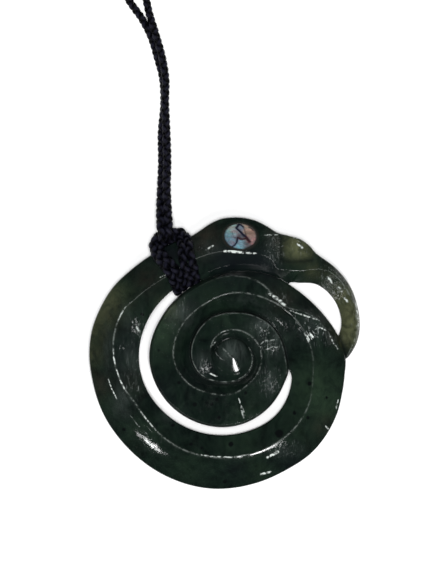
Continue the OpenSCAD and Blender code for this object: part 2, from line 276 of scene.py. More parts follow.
cordData = {
    "diameter": 1.8,
    "pitch": 5.6,  # length of one turn of a yarn
    "yarnPath": 0.38,  # radius of the yarns' middle lines
    "weave": 0.21,  # how far a yarn rises and dips as it crosses
    "yarnDepth": 0.31,
    "yarnWidth": 0.48,
    "swell": (0.2, 0.34),  # how much fuller the braid is beyond the hitch and in it
    "swellReach": (34, 20),  # lengths of cord from the hitch between which the second comes in
    "ring": 0.35,  # length between the rings of a yarn
    "sides": 10,
    # the neck loop's middle line, as the source has it but for the place where its strands part
    "route": [
        [-15.1, 29.4, 6.1], [-15.3, 34, 4.7], [-15.1, 40, 2.6], [-14.9, 46, 1.2], [-15, 53, 0.95],
        [-14.45, 60, 0.95], [-14.75, 66, 0.95], [-16, 71, 0.95], [-17.5, 76, 0.95], [-19.75, 80.5, 0.95],
        [-22.7, 84.7, 0.95], [-28.5, 94, 0.95], [-31.7, 108, 0.95], [-31.8, 128, 0.95], [-29.5, 150, 0.95],
        [-25, 167, 1], [-19.5, 179, 1.3], [-15, 185.2, 2.1], [-10.5, 186.8, 2.5], [-5, 186.8, 2.5],
        [5, 186.8, 2.5], [10.5, 186.8, 2.5], [16, 185, 2], [22.5, 179, 1.25], [29, 167, 0.95],
        [31.7, 153, 0.95], [29, 138, 0.95], [20, 126, 0.95], [6, 117, 0.95], [-8, 108, 0.95],
        [-17, 98, 0.95], [-19, 89, 0.95], [-18.3, 83, 1.05], [-16.7, 77.5, 2.15], [-15, 71.5, 2.8],
        [-14.1, 66, 2.85], [-14.15, 60, 2.85], [-13.9, 53, 2.65], [-13.7, 46, 2.8], [-13.8, 40, 4.1],
        [-13.5, 34, 5.5], [-13.2, 29.8, 6.1],
    ],
    "hitchTop": 29.4,  # where the loop leaves the hitch: place along the table
    # how each strand goes on over the hitch's closed ends and folds under them, and the fold's middle
    "leftFold": [
        [-14.3, 26.3, 1.6], [-14.4, 26.5, 3.2], [-14.5, 26.7, 4.8], [-14.65, 27.3, 6], [-14.9, 28.3, 6.3],
    ],
    "rightFold": [
        [-13.1, 28.7, 6.2], [-13, 27.9, 5.9], [-12.9, 27.4, 4.8], [-12.8, 27.2, 3.2], [-12.7, 27, 1.6],
    ],
    "foldMiddle": [-14.2, 27.6, 4.9],
    "foldEnds": (31.5, 27.5),  # places along the table between which the strands come into the fold
    # the hitch's two turns: under the ring, up through the slit, over the front, across, and back
    "outerTurn": [
        [-12.9, 27.2, 2.2], [-12.2, 26.4, 1], [-9.4, 22, 0.9], [-7.2, 18.6, 1], [-6.85, 17.8, 2.4],
        [-6.8, 17.6, 4.4], [-6.8, 17.7, 6.3], [-7, 19.3, 7.5], [-7.4, 21.2, 9], [-7.8, 22.6, 9.4],
        [-8.15, 24, 9.2], [-8.5, 26.3, 7.6], [-9.2, 28, 5.7], [-10.6, 28.9, 4.6], [-12.3, 28.95, 4.3],
        [-14.2, 28.6, 4.2], [-15.8, 27.9, 4.3], [-16.7, 26.8, 4.7], [-16.9, 25.1, 5.6], [-16.3, 23.3, 6.9],
        [-14.9, 21.6, 8.6], [-13.5, 19.8, 9.5], [-12.3, 17.6, 8.5], [-11.5, 15.6, 7.2], [-11.2, 14.9, 5.7],
        [-11.2, 14.8, 3.6], [-11.4, 15.4, 1.6], [-12.4, 17.4, 0.9], [-14.2, 21.4, 0.9], [-15.7, 25.4, 0.9],
        [-15.6, 26.6, 2],
    ],
    "innerTurn": [
        [-12.2, 24.8, 0.9], [-10.4, 20.6, 0.9], [-8.8, 17.6, 1], [-8.4, 16.95, 2.4], [-8.35, 16.85, 4.4],
        [-8.4, 17, 6.2], [-8.7, 18.3, 7.1], [-9.1, 19.8, 8.5], [-9.8, 21.75, 9.5], [-10, 23.9, 8.9],
        [-10.1, 25.8, 7.5], [-10.8, 27.1, 5.7], [-12, 27.9, 3.9], [-13.5, 27.3, 3.2], [-14.8, 26.8, 3.5],
        [-15.5, 26.1, 4.5], [-15.35, 25.1, 5.8], [-14.65, 23.55, 7.5], [-13.1, 21.9, 9],
        [-11.5, 19.95, 9.6], [-10.5, 18, 8], [-9.95, 16.6, 6.9], [-9.8, 16, 5.4], [-9.8, 15.9, 3.4],
        [-10.2, 16.7, 1.5], [-11.2, 18.8, 0.9], [-13.4, 23.4, 0.9],
    ],
    "ringCore": [-11.23, 21.29, 3.5],  # the hitch's turns go round this place of the ring
    "ringWay": 121,  # direction from the spiral's middle to that place
}


# Catmull-Rom curve through the points, then cut into even steps
def evenLine(points, step):
    p = np.array(points, float)
    p = np.concatenate([[2 * p[0] - p[1]], p, [2 * p[-1] - p[-2]]])
    x = np.linspace(0, 1, 24, endpoint=False)[None, :, None]
    a, b, c, d = (p[i: len(p) - 3 + i][:, None, :] for i in range(4))
    curve = 2 * b + (c - a) * x + (2 * a - 5 * b + 4 * c - d) * x**2 + (3 * b - 3 * c + d - a) * x**3
    curve = np.concatenate([0.5 * curve.reshape(-1, 3), p[-2:-1]])
    run = np.concatenate([[0], np.cumsum(np.linalg.norm(np.diff(curve, axis=0), axis=1))])
    even = np.linspace(0, run[-1], int(round(run[-1] / step)) + 1)
    return np.stack([np.interp(even, run, curve[:, i]) for i in range(3)], 1), even


def units(v):
    return v / np.maximum(np.linalg.norm(v, axis=-1, keepdims=True), 1e-9)


# Four yarns about a line, two winding each way: yarn k stands at angle w s + k 90 degrees, or the other
# way round for every second yarn, and its distance from the line is a sine of 2 w s, so that each
# crossing has one yarn over the other. Each yarn's section is an oval.
def braid(line, run, lifts, size, keep=None):
    d = cordData
    ahead = units(np.gradient(line, axis=0))
    up = units(lifts - (lifts * ahead).sum(1, keepdims=True) * ahead)
    side = np.cross(ahead, up)
    w = 2 * np.pi / d["pitch"]
    k = np.arange(4)[:, None]
    way = np.where(k % 2 == 0, 1, -1)
    angle = way * w * run[None, :] + k * np.pi / 2
    radius = d["yarnPath"] + way * d["weave"] * np.sin(2 * w * run)[None, :]
    out = np.cos(angle)[..., None] * side + np.sin(angle)[..., None] * up
    middle = line + (radius * size)[..., None] * out
    across = units(np.cross(units(np.gradient(middle, axis=1)), out))
    across, out = across * size[:, None], out * size[:, None]
    if keep is not None:
        middle, out, across, run = middle[:, keep], out[:, keep], across[:, keep], run[keep]
    turn = np.linspace(0, 2 * np.pi, d["sides"], endpoint=False)
    depth, width = d["yarnDepth"] * np.cos(turn)[:, None], d["yarnWidth"] * np.sin(turn)[:, None]
    points = middle[:, :, None] + depth * out[:, :, None] + width * across[:, :, None]
    yarns, rings, sides = points.shape[:3]
    at = np.arange(yarns * rings * sides).reshape(yarns, rings, sides)
    fan = np.arange(1, sides - 1)
    ends = []
    for first, a, b in ((0, 1, 0), (rings - 1, 0, 1)):
        corner = np.repeat(at[:, first, :1], sides - 2, 1)
        ends.append(np.stack([corner, at[:, first, fan + a], at[:, first, fan + b]], -1).reshape(-1, 3))
    triangles = np.concatenate([ringTriangles(at), *ends])
    over = smoothStep(0.5 + 0.5 * way * np.sin(2 * w * run)[None, :])[..., None]
    crown = over * np.clip(np.cos(turn), 0, 1) ** 2  # 1 on the back of a yarn where it passes over
    weave = np.stack(np.broadcast_arrays(turn / (2 * np.pi) + k[..., None], run[None, :, None], crown), -1)
    return points.reshape(-1, 3), triangles, weave.reshape(-1, 3)


# Braid of waxed yarn: near-black navy, with fibres that run along each yarn, and painted shade on each yarn
# away from its crown
def makeCordMaterial():
    m, shader = newMaterial("braidedCord", (0.004, 0.004, 0.007), 0.5)
    shader.inputs["Specular IOR Level"].default_value = 0.12
    weave = painted(m, "weave", "Vector")
    crown = node(m, "SeparateXYZ", {"Vector": weave}).outputs["Z"]
    along = turned(m, weave, 0.16, (16, 0.9, 0))
    fibres = noise(m, along, 1.6, 4, 0.65, 0.4)
    colour = ramp(m, fibres, [(0.34, (0.004, 0.004, 0.009)), (0.54, (0.012, 0.012, 0.021)),
                              (0.76, (0.032, 0.032, 0.046))])
    # painted shade: each yarn is darkened away from its crown, most in the gaps between yarns
    dark = ramp(m, crown, [(0, (0.03, 0.03, 0.04)), (0.3, (0.22, 0.22, 0.26)), (0.9, (1, 1, 1))])
    feed(m, shader, "Base Color", mixColour(m, 1, colour, dark, "MULTIPLY"))
    feed(m, shader, "Roughness", ramp(m, noise(m, along, 0.7, 3, 0.5), [(0.3, 0.38), (0.7, 0.62)]))
    bump(m, shader, fibres, 0.8, 0.12)
    return m


def makeBraid(name, parts, material):
    points, triangles, weave = zip(*parts)
    starts = np.cumsum([0] + [len(p) for p in points])
    triangles = np.concatenate([t + start for t, start in zip(triangles, starts)])
    piece, used = makeMesh(name, np.concatenate(points), triangles, material)
    paint(piece, "weave", np.concatenate(weave)[used], "FLOAT_VECTOR")
    return piece


# Outward direction of the hitch's turns: away from the ring's core, square to the ring
def ringLifts(line):
    a = math.radians(cordData["ringWay"])
    way = np.array([-math.sin(a), math.cos(a), 0])
    away = line - np.array(cordData["ringCore"])
    return away - (away @ way)[:, None] * way


# Outward direction of the loop: away from the fold's middle near it, and upwards further on
def foldLifts(line):
    fold = line - np.array(cordData["foldMiddle"])
    near = comesIn(line[:, 1], *cordData["foldEnds"])[:, None]
    return units(fold) * near + np.array([0, 0, 1.0]) * (1 - near)


cordMaterial = makeCordMaterial()
wholePoints = cordData["leftFold"] + cordData["route"] + cordData["rightFold"]
whole, wholeRun = evenLine(wholePoints, cordData["ring"])
firstKept, lastKept = np.flatnonzero(whole[:, 1] >= cordData["hitchTop"])[[0, -1]]
lifts = foldLifts(whole)
toHitch = np.minimum(wholeRun - wholeRun[firstKept], wholeRun[lastKept] - wholeRun)
full, fullest = cordData["swell"]
swell = 1 + full + (fullest - full) * comesIn(toHitch, *cordData["swellReach"])
neckParts = [braid(whole, wholeRun, lifts, swell, slice(firstKept, lastKept + 1))]
neckCord = makeBraid("neckCord", neckParts, cordMaterial)
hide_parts("neck_cord")

hitchParts = [braid(whole, wholeRun, lifts, swell, kept)
              for kept in (slice(0, firstKept + 1), slice(lastKept, None))]
for name in ("outerTurn", "innerTurn"):
    line, run = evenLine(cordData[name], cordData["ring"])
    hitchParts.append(braid(line, run, ringLifts(line), np.full(len(line), 1 + fullest)))
hitch = makeBraid("cordHitch", hitchParts, cordMaterial)
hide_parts("cord_hitch")
print("cord braided:", len(neckCord.data.polygons) + len(hitch.data.polygons), "triangles")

claspData = {
    "middle": (0, 186.8, 2.5),
    "length": 20,
    "radius": 2.5,
    "endRadius": 1.0,
    "bore": 1.05,
    "chamfer": 0.15,  # at the bore's two ends
    "sides": 72,
}


# Barrel: a profile of radius against length, turned about the cord and back through its bore
def makeClasp(material):
    d = claspData
    half, corner, bore, chamfer = d["length"] / 2, d["endRadius"], d["bore"], d["chamfer"]
    a = np.radians(np.linspace(0, 90, 7))
    left = np.stack([-half + corner * (1 - np.sin(a)), d["radius"] - corner * (1 - np.cos(a))], 1)[::-1]
    body = np.stack([np.linspace(-half + corner, half - corner, 9), np.full(9, d["radius"])], 1)
    hole = [[half, bore + chamfer], [half - chamfer, bore], [chamfer - half, bore], [-half, bore + chamfer]]
    profile = np.concatenate([left[:-1], body, (left * [-1, 1])[::-1][1:], hole])
    t = np.linspace(0, 2 * np.pi, d["sides"], endpoint=False)
    mx, my, mz = d["middle"]
    along, r = profile[:, 0][:, None], profile[:, 1][:, None]
    points = np.stack([mx + along + 0 * t, my + r * np.cos(t), mz + r * np.sin(t)], -1)
    at = np.arange(len(profile) * len(t)).reshape(-1, len(t))
    triangles = ringTriangles(np.concatenate([at, at[:1]]))
    clasp, _ = makeMesh("barrelClasp", points.reshape(-1, 3), triangles, material)
    return clasp


# Dark oiled wood, its grain along the barrel
def makeWood():
    m, shader = newMaterial("darkWood", (0.024, 0.015, 0.011), 0.42)
    fibres = noise(m, turned(m, objectPlace(m), 0, (0.08, 1, 1)), 1500, 6, 0.65, 0.5)
    colour = ramp(m, fibres, [(0.3, (0.01, 0.006, 0.004)), (0.55, (0.03, 0.018, 0.011)),
                              (0.75, (0.06, 0.036, 0.02))])
    feed(m, shader, "Base Color", colour)
    feed(m, shader, "Roughness", ramp(m, fibres, [(0.3, 0.55), (0.7, 0.36)]))
    bump(m, shader, fibres, 0.4, 0.08)
    return m


clasp = makeClasp(makeWood())
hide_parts("cord_clasp")

# The stone is one band that winds inwards, from the beak's tip at turn -2 through the head, round the
# ring, and in to the knob at turn 1108, in degrees about the spiral's middle
stoneData = {
    "middle": (1.9, -0.57),
    "lean": 2,
    "leanTowards": 120,  # the side that the cord lifts
    "lift": 1.06865,  # how far the leaning stone is raised to touch the table
    "firstTurn": -2,
    "lastTurn": 1108,
    "step": 0.75,
    "lipHeight": 0.6,
    "lipWidth": 0.12,
    "lipShare": 0.3,  # most of the bevel's width that the lip may take
    "backRound": (1.1, 0.8),  # width and height of the rounding round the back's outer edge
    "cutRound": (0.5, 0.5),  # and along the cuts
    "knobRadius": 4.4,
    "knobMerge": 1.05,  # rise of its rim over which the knob turns into a plain cone
    # height of the knob's rim: turn, height; on the lower side it runs into the band's end without a groove
    "knobFoot": [[748, 4.7], [885, 4.7], [930, 6], [960, 5.95], [1050, 5.75], [1085, 5.3], [1108, 4.7]],
    "knobTop": 6.9,
    # outer edge of the band: turn, radius, height of the front there
    "edge": [
        [-2, 27.5, 2.5], [0, 28.4, 2.4], [5, 30, 2.7], [10, 31.1, 2.9], [15, 31.8, 3], [20, 32.3, 3],
        [30, 32.9, 3], [40, 32.6, 2.9], [50, 31.8, 2.6], [55, 32.3, 2.4], [60, 32.4, 2.4], [65, 31.8, 2.4],
        [70, 31.5, 2.4], [75, 32.2, 2.3], [80, 32.9, 2.4], [85, 33.2, 2.4], [90, 33.2, 2.4],
        [95, 32.9, 2.4], [100, 32, 2.4], [105, 30.9, 2.4], [110, 30.3, 2.4], [120, 30.6, 2.4],
        [130, 31.1, 2.4], [140, 31.9, 2.4], [150, 33, 2.3], [160, 33.7, 2.3], [170, 34.3, 2.2],
        [180, 34.4, 2.2], [190, 34.2, 2.2], [205, 34.1, 2.3], [220, 33.7, 2.4], [240, 33.3, 2.4],
        [260, 32.7, 2.4], [280, 31.5, 2.5], [295, 30.7, 2.5], [310, 30.4, 2.5], [330, 29.1, 2.5],
        [340, 28.2, 2.5], [350, 27.6, 2.5], [358, 27.4, 2.5], [370, 26, 2.6], [380, 24.6, 2.7],
        [390, 23.4, 2.8], [400, 22.5, 2.9], [412, 21.8, 3], [420, 21.6, 3.4], [435, 20.8, 3.6],
        [450, 20, 3.6], [480, 19.2, 4.4], [510, 19.3, 4.8], [540, 19.9, 4.9], [570, 19.3, 4.9],
        [600, 18.2, 4.9], [630, 17, 4.8], [660, 15.5, 4.7], [690, 14.2, 4.4], [706, 14, 4.2],
        [720, 13.1, 3.8], [750, 12.3, 3.5], [780, 11.4, 3.4], [810, 10.7, 3.4], [840, 10.8, 3.4],
        [870, 10.5, 3.5], [900, 10.2, 3.6], [930, 9.2, 3.8], [960, 7.5, 4], [990, 6.5, 4.2],
        [1050, 5.5, 4.5], [1080, 5, 4.6], [1108, 4.4, 4.7],
    ],
    # ridge of the band: turn, radius, height
    "ridge": [
        [-2, 27.3, 2.6], [4, 28.8, 3.6], [10, 30.2, 4.28], [22, 31.6, 4.5], [29, 31.7, 4.5],
        [38, 31.3, 4.5], [44, 29.8, 4.6], [51, 26.2, 4.8], [57, 24.5, 5.1], [63, 23.5, 5.6],
        [68, 24.9, 6.3], [75, 25.2, 6.6], [95, 25.2, 6.8], [112, 24.9, 6.8], [129, 24.7, 6.8],
        [149, 26.9, 6.8], [157, 28.3, 6.8], [175, 28.6, 6.8], [195, 27.1, 6.8], [207, 25.7, 6.8],
        [240, 25.3, 6.8], [270, 24.2, 6.8], [300, 23.2, 6.8], [315, 22.5, 6.8], [330, 21.4, 6.8],
        [345, 19.9, 6.7], [360, 19.2, 6.6], [390, 17.5, 6.5], [420, 15.9, 6.4], [450, 15.1, 6.3],
        [480, 14.1, 6.2], [540, 14.1, 6.2], [570, 12.5, 6.2], [600, 10.3, 6.2], [630, 9, 6.2],
        [660, 7.7, 6.2], [690, 7.2, 6.2], [750, 6.7, 6.2], [780, 6.4, 6.2], [840, 6.2, 6.2],
        [870, 5.7, 6.2], [900, 5.2, 6.15], [930, 4.7, 6.05], [960, 4.55, 5.98], [1050, 4.5, 5.76],
        [1085, 4.45, 5.3], [1108, 4.4, 4.8],
    ],
    # inner edge where the band is cut free, beside the beak's gap and the long slit
    "free": [
        [10, 26.6, 2.1], [20, 27.9, 2], [30, 27.9, 2], [40, 26.5, 2.1], [50, 23.1, 2.6], [112, 20, 3.6],
        [118, 21.4, 4], [130, 21.2, 4.4], [150, 21.8, 4.6], [180, 22.4, 4.6], [200, 22.2, 4.6],
        [220, 21.4, 4.6], [240, 20.5, 4.6], [260, 19.6, 4.6], [280, 18.8, 4.6], [300, 18.2, 4.6],
        [310, 17.7, 4.5], [320, 17, 4.4], [330, 16.2, 4.3], [340, 15.3, 4.1], [346, 14.2, 4],
    ],
    # turns where each cut starts and ends, and how many degrees its two ends take to open
    "cuts": [[10, 52, 5, 4], [112, 346, 5, 3]],
    "facets": (352, 362),  # turns between which the bevel becomes two facets, flat inside and steep outside
    "facetMatt": (362, 372),  # and between which the steep one loses its polish
    # corner between the two facets: turn, radius, and how steeply the flat one falls towards it
    "corner": [
        [352, 21.5, 0.16], [363, 22.4, 0.16], [370, 22.9, 0.16], [381, 22.6, 0.16], [392, 20, 0.16],
        [401, 17.6, 0.16], [412, 17.2, 0.14], [430, 18.8, 0.08], [450, 19.2, 0.05], [480, 18.5, 0.04],
        [540, 19.2, 0.04], [570, 18.6, 0.04], [600, 17.5, 0.04], [630, 16.3, 0.04], [660, 14.8, 0.04],
        [690, 13.6, 0.05], [706, 13.4, 0.06], [720, 12.6, 0.07], [750, 11.9, 0.08], [780, 11, 0.08],
        [810, 10.3, 0.08], [840, 10.4, 0.08], [870, 10.1, 0.08], [900, 9.8, 0.08], [930, 8.8, 0.15],
        [960, 7.1, 0.35], [990, 6.1, 0.5], [1050, 5.2, 0.5], [1108, 4.4, 0.3],
    ],
    # swell of the nose lobe, from the spiral's middle: x, y, half widths, height
    "lobe": [15.6, 25.2, 3.6, 2.4, 0.55],
    # how much the bevel rounds off towards the ridge: turn, power
    "bevel": [[-2, 1.25], [205, 1.25], [216, 1.6], [240, 1.6], [252, 1.25], [1108, 1.25]],
    # how much the hollow flattens towards its foot: turn, power
    "hollow": [
        [-2, 1.2], [60, 1.2], [72, 1], [112, 1], [125, 1.2], [690, 1.2], [720, 1.05], [1108, 1],
    ],
    "ridgeRound": 0.04,
    "roundRidges": [[354, 428, 0.42]],  # rounder past the beak: turns, radius
    "roundRun": 10,  # turn over which that comes and goes
    # how much painted highlight, with some pale wear, the ridge and the corner get: turn, share
    "ridgeWearAndSheen": [
        [-2, 0.8], [30, 0.8], [40, 0.5], [50, 0.35], [62, 0.1], [102, 0.1], [130, 0.2], [150, 0.3],
        [156, 1], [318, 0.9], [332, 0.3], [362, 0.25], [385, 0.4], [420, 0.8], [872, 0.9], [900, 0],
        [1108, 0],
    ],
    "cornerWearAndSheen": [
        [352, 0], [368, 0], [378, 0.6], [402, 1.2], [420, 1.1], [445, 0.5], [462, 0.2], [480, 0], [700, 0],
        [720, 0.8], [900, 0.8], [930, 1.9], [1108, 1.7],
    ],
    "wearAndSheenWidth": 0.14,  # how far it reaches across, and down from the corner
    "wearAndSheenDepth": 0.16,
    # where the ridge has no polish: turn, share
    "ridgeMatt": [[-2, 0], [88, 0], [94, 1], [149, 1], [154, 0], [1108, 0]],
    # half widths of the dark lines of painted shade at the foot of the hollow, along the outer edge and in
    # carved grooves
    "hollowGroove": 0.55,
    "edgeGroove": 0.16,
    "lineGroove": 0.5,
    "grooveStart": (895, 880),  # turns between which the first of them comes in, seen from the knob
    "waves": (0.014, 5),  # the hand's waviness: height and length
    "chatter": (0.022, 0.9),  # the cutter's marks where the stone is brushed: height and length
}
eyeData = {
    "place": (1.9, 28.63),  # from the spiral's middle
    "onTable": (3.91, 27.87),  # the same place on the table, as the stone lies
    "halfLength": 3.88,
    "halfWidth": 3.05,
    "turned": -4,
    "dome": 0.2,
    "proud": 0.05,
    "pocket": 0.9,
    "pocketWall": (0.9, 0.76),  # its top and its foot, as shares of the oval
    "sides": 144,
}
# Small carved lines: points from the spiral's middle, height (below 0 for a groove), half width
carvedLines = [
    [[[11.8, 22.8], [14, 22.5], [16.6, 22.6], [19.2, 22.8]], -0.012, 0.5],
    [[[11.7, 29.6], [11.6, 26], [11.8, 23.4]], -0.22, 0.6],
    [[[1.4, -9.8], [2.1, -12], [2.9, -15.8]], 0.1, 0.4],
    [[[-30, -5], [-28.3, -9.4], [-26.2, -13.7]], 0.04, 0.5],
    [[[12.4, 11], [14.2, 9.8], [16, 7.4]], 0.12, 0.45],
    [[[-4.4, 2], [-4.1, 1.2], [-3.2, 0], [-1.6, -0.9]], -0.3, 0.5],
]
# Painted glints along lines, partly pale worn or chipped edges: points from the spiral's middle, half width,
# strength
glintLines = [
    [[[-2.2, 25.1], [0.4, 24.95], [2.8, 24.7]], 0.36, 3.2],
    [[[2.6, 24.75], [4.4, 24.6], [6.2, 24.5]], 0.32, 1.3],
    [[[-29.9, -5], [-28.8, -8], [-27.6, -10.4]], 0.2, 1.5],
    [[[-25.3, 12.05], [-26.5, 10.2], [-27.4, 8.35]], 0.22, 1.1],
    [[[-28.45, 1.9], [-28.4, 0.1], [-28, -2]], 0.24, 1.8],
    [[[-27.8, -2.9], [-27.1, -5]], 0.22, 1.5],
    [[[-27, -5.3], [-25.65, -8.05]], 0.24, 1.8],
    [[[-17.4, 18.8], [-15.8, 19.5]], 0.22, 1.2],
    [[[-22.1, -13], [-20.2, -15.5], [-18, -18]], 0.22, 1.3],
    [[[-9.4, -23.3], [-5, -24], [0, -24.2], [4.2, -23.5]], 0.22, 1.2],
    [[[-21.2, -19.6], [-19.2, -21.5], [-17.4, -23.2]], 0.5, 1.5],
    [[[-24.6, -14], [-22.6, -16.6], [-20, -19]], 0.24, 0.45],
    [[[1.4, -9.8], [2, -11.6], [2.9, -13.6]], 0.22, 1.2],
    [[[2, -12.4], [2.8, -15.2]], 0.28, 0.7],
    [[[29.6, 13.2], [30.2, 9.4], [30.3, 6]], 0.24, 1.2],
    [[[25.6, -10.6], [25.2, -11.8], [25, -12.9]], 0.26, 1.6],
    [[[22.4, -16.9], [23.3, -17.9]], 0.28, 1.3],
    [[[6.6, -28.6], [9.4, -28]], 0.34, 2.2],
    [[[8.2, -24.4], [9.4, -23.8], [11.2, -22.8]], 0.46, 2.4],
    [[[-6, 25.6], [-4.4, 26.5]], 0.3, 1.5],
    [[[7, 28.9], [11.2, 29]], 0.24, 0.9],
    [[[15.6, 26.9], [17, 25.7]], 0.38, 2.2],
    [[[14.6, 28.3], [16.4, 28.2]], 0.24, 1],
    [[[23, 18.9], [24, 17.2]], 0.4, 2.2],
    [[[25.4, 16.6], [26.4, 15.2]], 0.34, 1.4],
    [[[26.8, 14], [27.8, 12.8]], 0.38, 1.8],
    [[[8.4, 15], [10.8, 13.7], [13, 11.8]], 0.5, 1.7],
    [[[13.6, 11], [18, 9.4], [21.6, 8.4]], 0.28, 1.2],
    [[[22.9, 5.8], [24.2, 3.2], [25.8, 1]], 0.26, 1.1],
    [[[18.4, 5.7], [19.3, 4.4]], 0.26, 7],
    [[[17.9, 4.9], [18.5, 3.7]], 0.2, 6],
    [[[17, 5.9], [18, 3.9], [18.8, 1.7]], 0.2, 1.2],
    [[[19.7, 6.3], [21.1, 6.8], [22.6, 6]], 0.26, 1.5],
    [[[-23, 7.1], [-22.2, 5.8]], 0.4, 1.4],
    [[[-5.6, -4], [-4.6, -4.6], [-3.4, -5]], 0.26, 1.5],
    [[[-4.8, 2.4], [-4, 3.6]], 0.26, 1.2],
    [[[6.6, 2.7], [7.6, 3.6], [8.6, 3.7], [9.6, 3.8], [10.8, 4]], 0.24, 0.6],
    [[[8.4, 1.4], [9.1, 2], [9.8, 2.3], [10.4, 2], [11.6, 2.3]], 0.24, 0.5],
    [[[6.2, 7], [7, 6.6], [7.8, 5.8]], 0.26, 0.6],
    [[[6.6, 4.8], [7.9, 5.2], [9, 5.6]], 0.26, 0.6],
    [[[6.8, 1.2], [6.7, 2.4]], 0.22, 0.6],
    [[[-2.9, 2.4], [-1.3, 0.9], [0.2, -0.7]], 0.5, 0.24],
    [[[-4.2, 1.2], [-3.6, 0.2], [-2.8, -0.6], [-1.6, -1.1]], 0.26, 0.3],
]
# Places where the polish is broken by the cutter's marks, whose pale scratches are painted glints as well,
# from the spiral's middle: x, y, half widths, strength
brushedPlaces = {
    "hatchedCheek": [10.2, 25.9, 1.6, 2.6, 1.6],
    "cheekLine": [8.6, 21.6, 2.2, 1.2, 0.2],
    "headLeft": [-6.4, 25.3, 1.8, 0.9, 0.6],
    "lobe": [16.6, 25.9, 2.6, 1.8, 0.6],
    "beakEnd": [24.7, 17.6, 3, 3.8, 1.3],
    "beakSide": [29.8, 9.6, 1.2, 3.4, 0.5],
    "rightBevel": [21.8, 5.2, 3.4, 2.2, 1.1],
    "rightRidge": [18.6, 8.2, 3.4, 2.4, 1],
    "upperRidge": [11.2, 13.6, 2.4, 1.8, 0.7],
    "innerEast": [8.2, 6.6, 2.6, 1.8, 1.1],
    "eastHollow": [9.3, 2.4, 2.4, 1.6, 1.2],
    "southHollow": [9.4, -6.4, 2.4, 2.6, 0.9],
    "westHollow": [-6.6, -2.4, 1.5, 1.8, 0.6],
    "leftRing": [-22.8, 6.5, 1.6, 2.6, 0.8],
    "leftRingLow": [-23.8, -5, 2.2, 5.2, 0.3],
    "leftDisc": [-13.9, 11.6, 2.4, 2, 0.5],
    "southBevel": [12.6, -22.4, 3.2, 1.7, 0.45],
    "southWestBevel": [-20.4, -20.6, 3.6, 3.2, 0.12],
    "leftRidge": [-26, 2, 1.2, 0.7, 0.9],
    "leftRingFoot": [-23.8, -7.8, 2, 0.5, 1.1],
}


# Share to which a cut has opened at a turn: a quarter circle's rise from each of its ends
def cutOpen(turn):
    share = np.zeros_like(turn)
    for start, end, opening, closing in stoneData["cuts"]:
        a = np.clip((turn - start) / opening, 0, 1)
        b = np.clip((end - turn) / closing, 0, 1)
        share = np.maximum(share, np.sqrt(1 - (1 - a) ** 2) * np.sqrt(1 - (1 - b) ** 2))
    return share


# The band's lines at each turn: radius and height of its outer edge, its ridge and its inner edge
def bandLines(turn):
    s = stoneData
    lines = readTable(s["edge"], turn) + readTable(s["ridge"], turn)
    core = turn + 360 > s["lastTurn"]
    knob = s["knobRadius"], readPlain(s["knobFoot"], turn)
    nextEdge = readTable(s["edge"], np.minimum(turn + 360, s["lastTurn"]))
    for onKnob, onEdge, free in zip(knob, nextEdge, readTable(s["free"], turn)):
        inner = np.where(core, onKnob, onEdge)
        lines.append(inner + (free - inner) * cutOpen(turn))
    return lines


# Width of the step at the band's outer edge
def lipWidth(edge, ridge):
    return np.maximum(0.01, np.minimum(stoneData["lipWidth"], stoneData["lipShare"] * (edge - ridge)))


# Front of the band at radius r: a quarter sine step up from the edge, a bevel that rounds off towards the
# ridge, then a hollow down to the inner edge; from the beak's foot inwards the bevel is two facets
def plainFront(turn, r, lines):
    s = stoneData
    edge, edgeZ, ridge, ridgeZ, inner, innerZ = lines
    lip = lipWidth(edge, ridge)
    lipZ = edgeZ + np.minimum(s["lipHeight"], 0.5 * (ridgeZ - edgeZ))
    step = np.clip((edge - r) / lip, 0, 1)
    rise = np.clip((edge - lip - r) / np.maximum(0.01, edge - lip - ridge), 0, 1)
    fall = np.clip((ridge - r) / np.maximum(0.01, ridge - inner), 0, 1)
    onLip = edgeZ + (lipZ - edgeZ) * np.sin(np.pi / 2 * step)
    bevel = lipZ + (ridgeZ - lipZ) * (1 - (1 - rise) ** readPlain(s["bevel"], turn))
    corner, fallRate = readTable(s["corner"], turn)
    flat = ridgeZ - fallRate * (r - ridge)
    cornerZ = ridgeZ - fallRate * (corner - ridge)
    steep = lipZ + (edge - lip - r) * (cornerZ - lipZ) / np.maximum(0.15, edge - lip - corner)
    bevel = bevel + (np.minimum(flat, steep) - bevel) * comesIn(turn, *s["facets"])
    hollow = innerZ + (ridgeZ - innerZ) * (1 - fall) ** readPlain(s["hollow"], turn)
    return np.where(step < 1, onLip, np.where(r > ridge, bevel, hollow))


# Each place by a straight piece: its share of the way along the piece, and its distance from it
def byPiece(x, y, a, b):
    (ax, ay), (bx, by) = a, b
    along = ((x - ax) * (bx - ax) + (y - ay) * (by - ay)) / ((bx - ax) ** 2 + (by - ay) ** 2)
    along = np.clip(along, 0, 1)
    return along, np.hypot(x - ax - along * (bx - ax), y - ay - along * (by - ay))


# Distance of each place to a line of such pieces
def lineDistance(x, y, points):
    return np.min([byPiece(x, y, a, b)[1] for a, b in zip(points, points[1:])], axis=0)


# Side and share of each place by the nearest of several lines: how far to its left in its half widths, and
# its strength there, which tapers off towards its ends and away from it
def nearLines(x, y, lines):
    nearest, side, power = np.full(x.shape, 1e9), np.full(x.shape, 9.0), np.zeros(x.shape)
    for points, width, strength in lines:
        steps = np.hypot(*np.diff(points, axis=0).T)
        starts = np.cumsum(steps) - steps
        for a, b, step, start in zip(points, points[1:], steps, starts):
            along, away = byPiece(x, y, a, b)
            left = np.sign((b[0] - a[0]) * (y - a[1]) - (b[1] - a[1]) * (x - a[0]))
            share = (start + along * step) / steps.sum()
            taper = np.sqrt(4 * share * (1 - share)) * comesIn(away, 1.3, 0.8)
            closer = away < nearest
            nearest = np.where(closer, away, nearest)
            side = np.where(closer, left * away / width, side)
            power = np.where(closer, strength * taper, power)
    return side, power


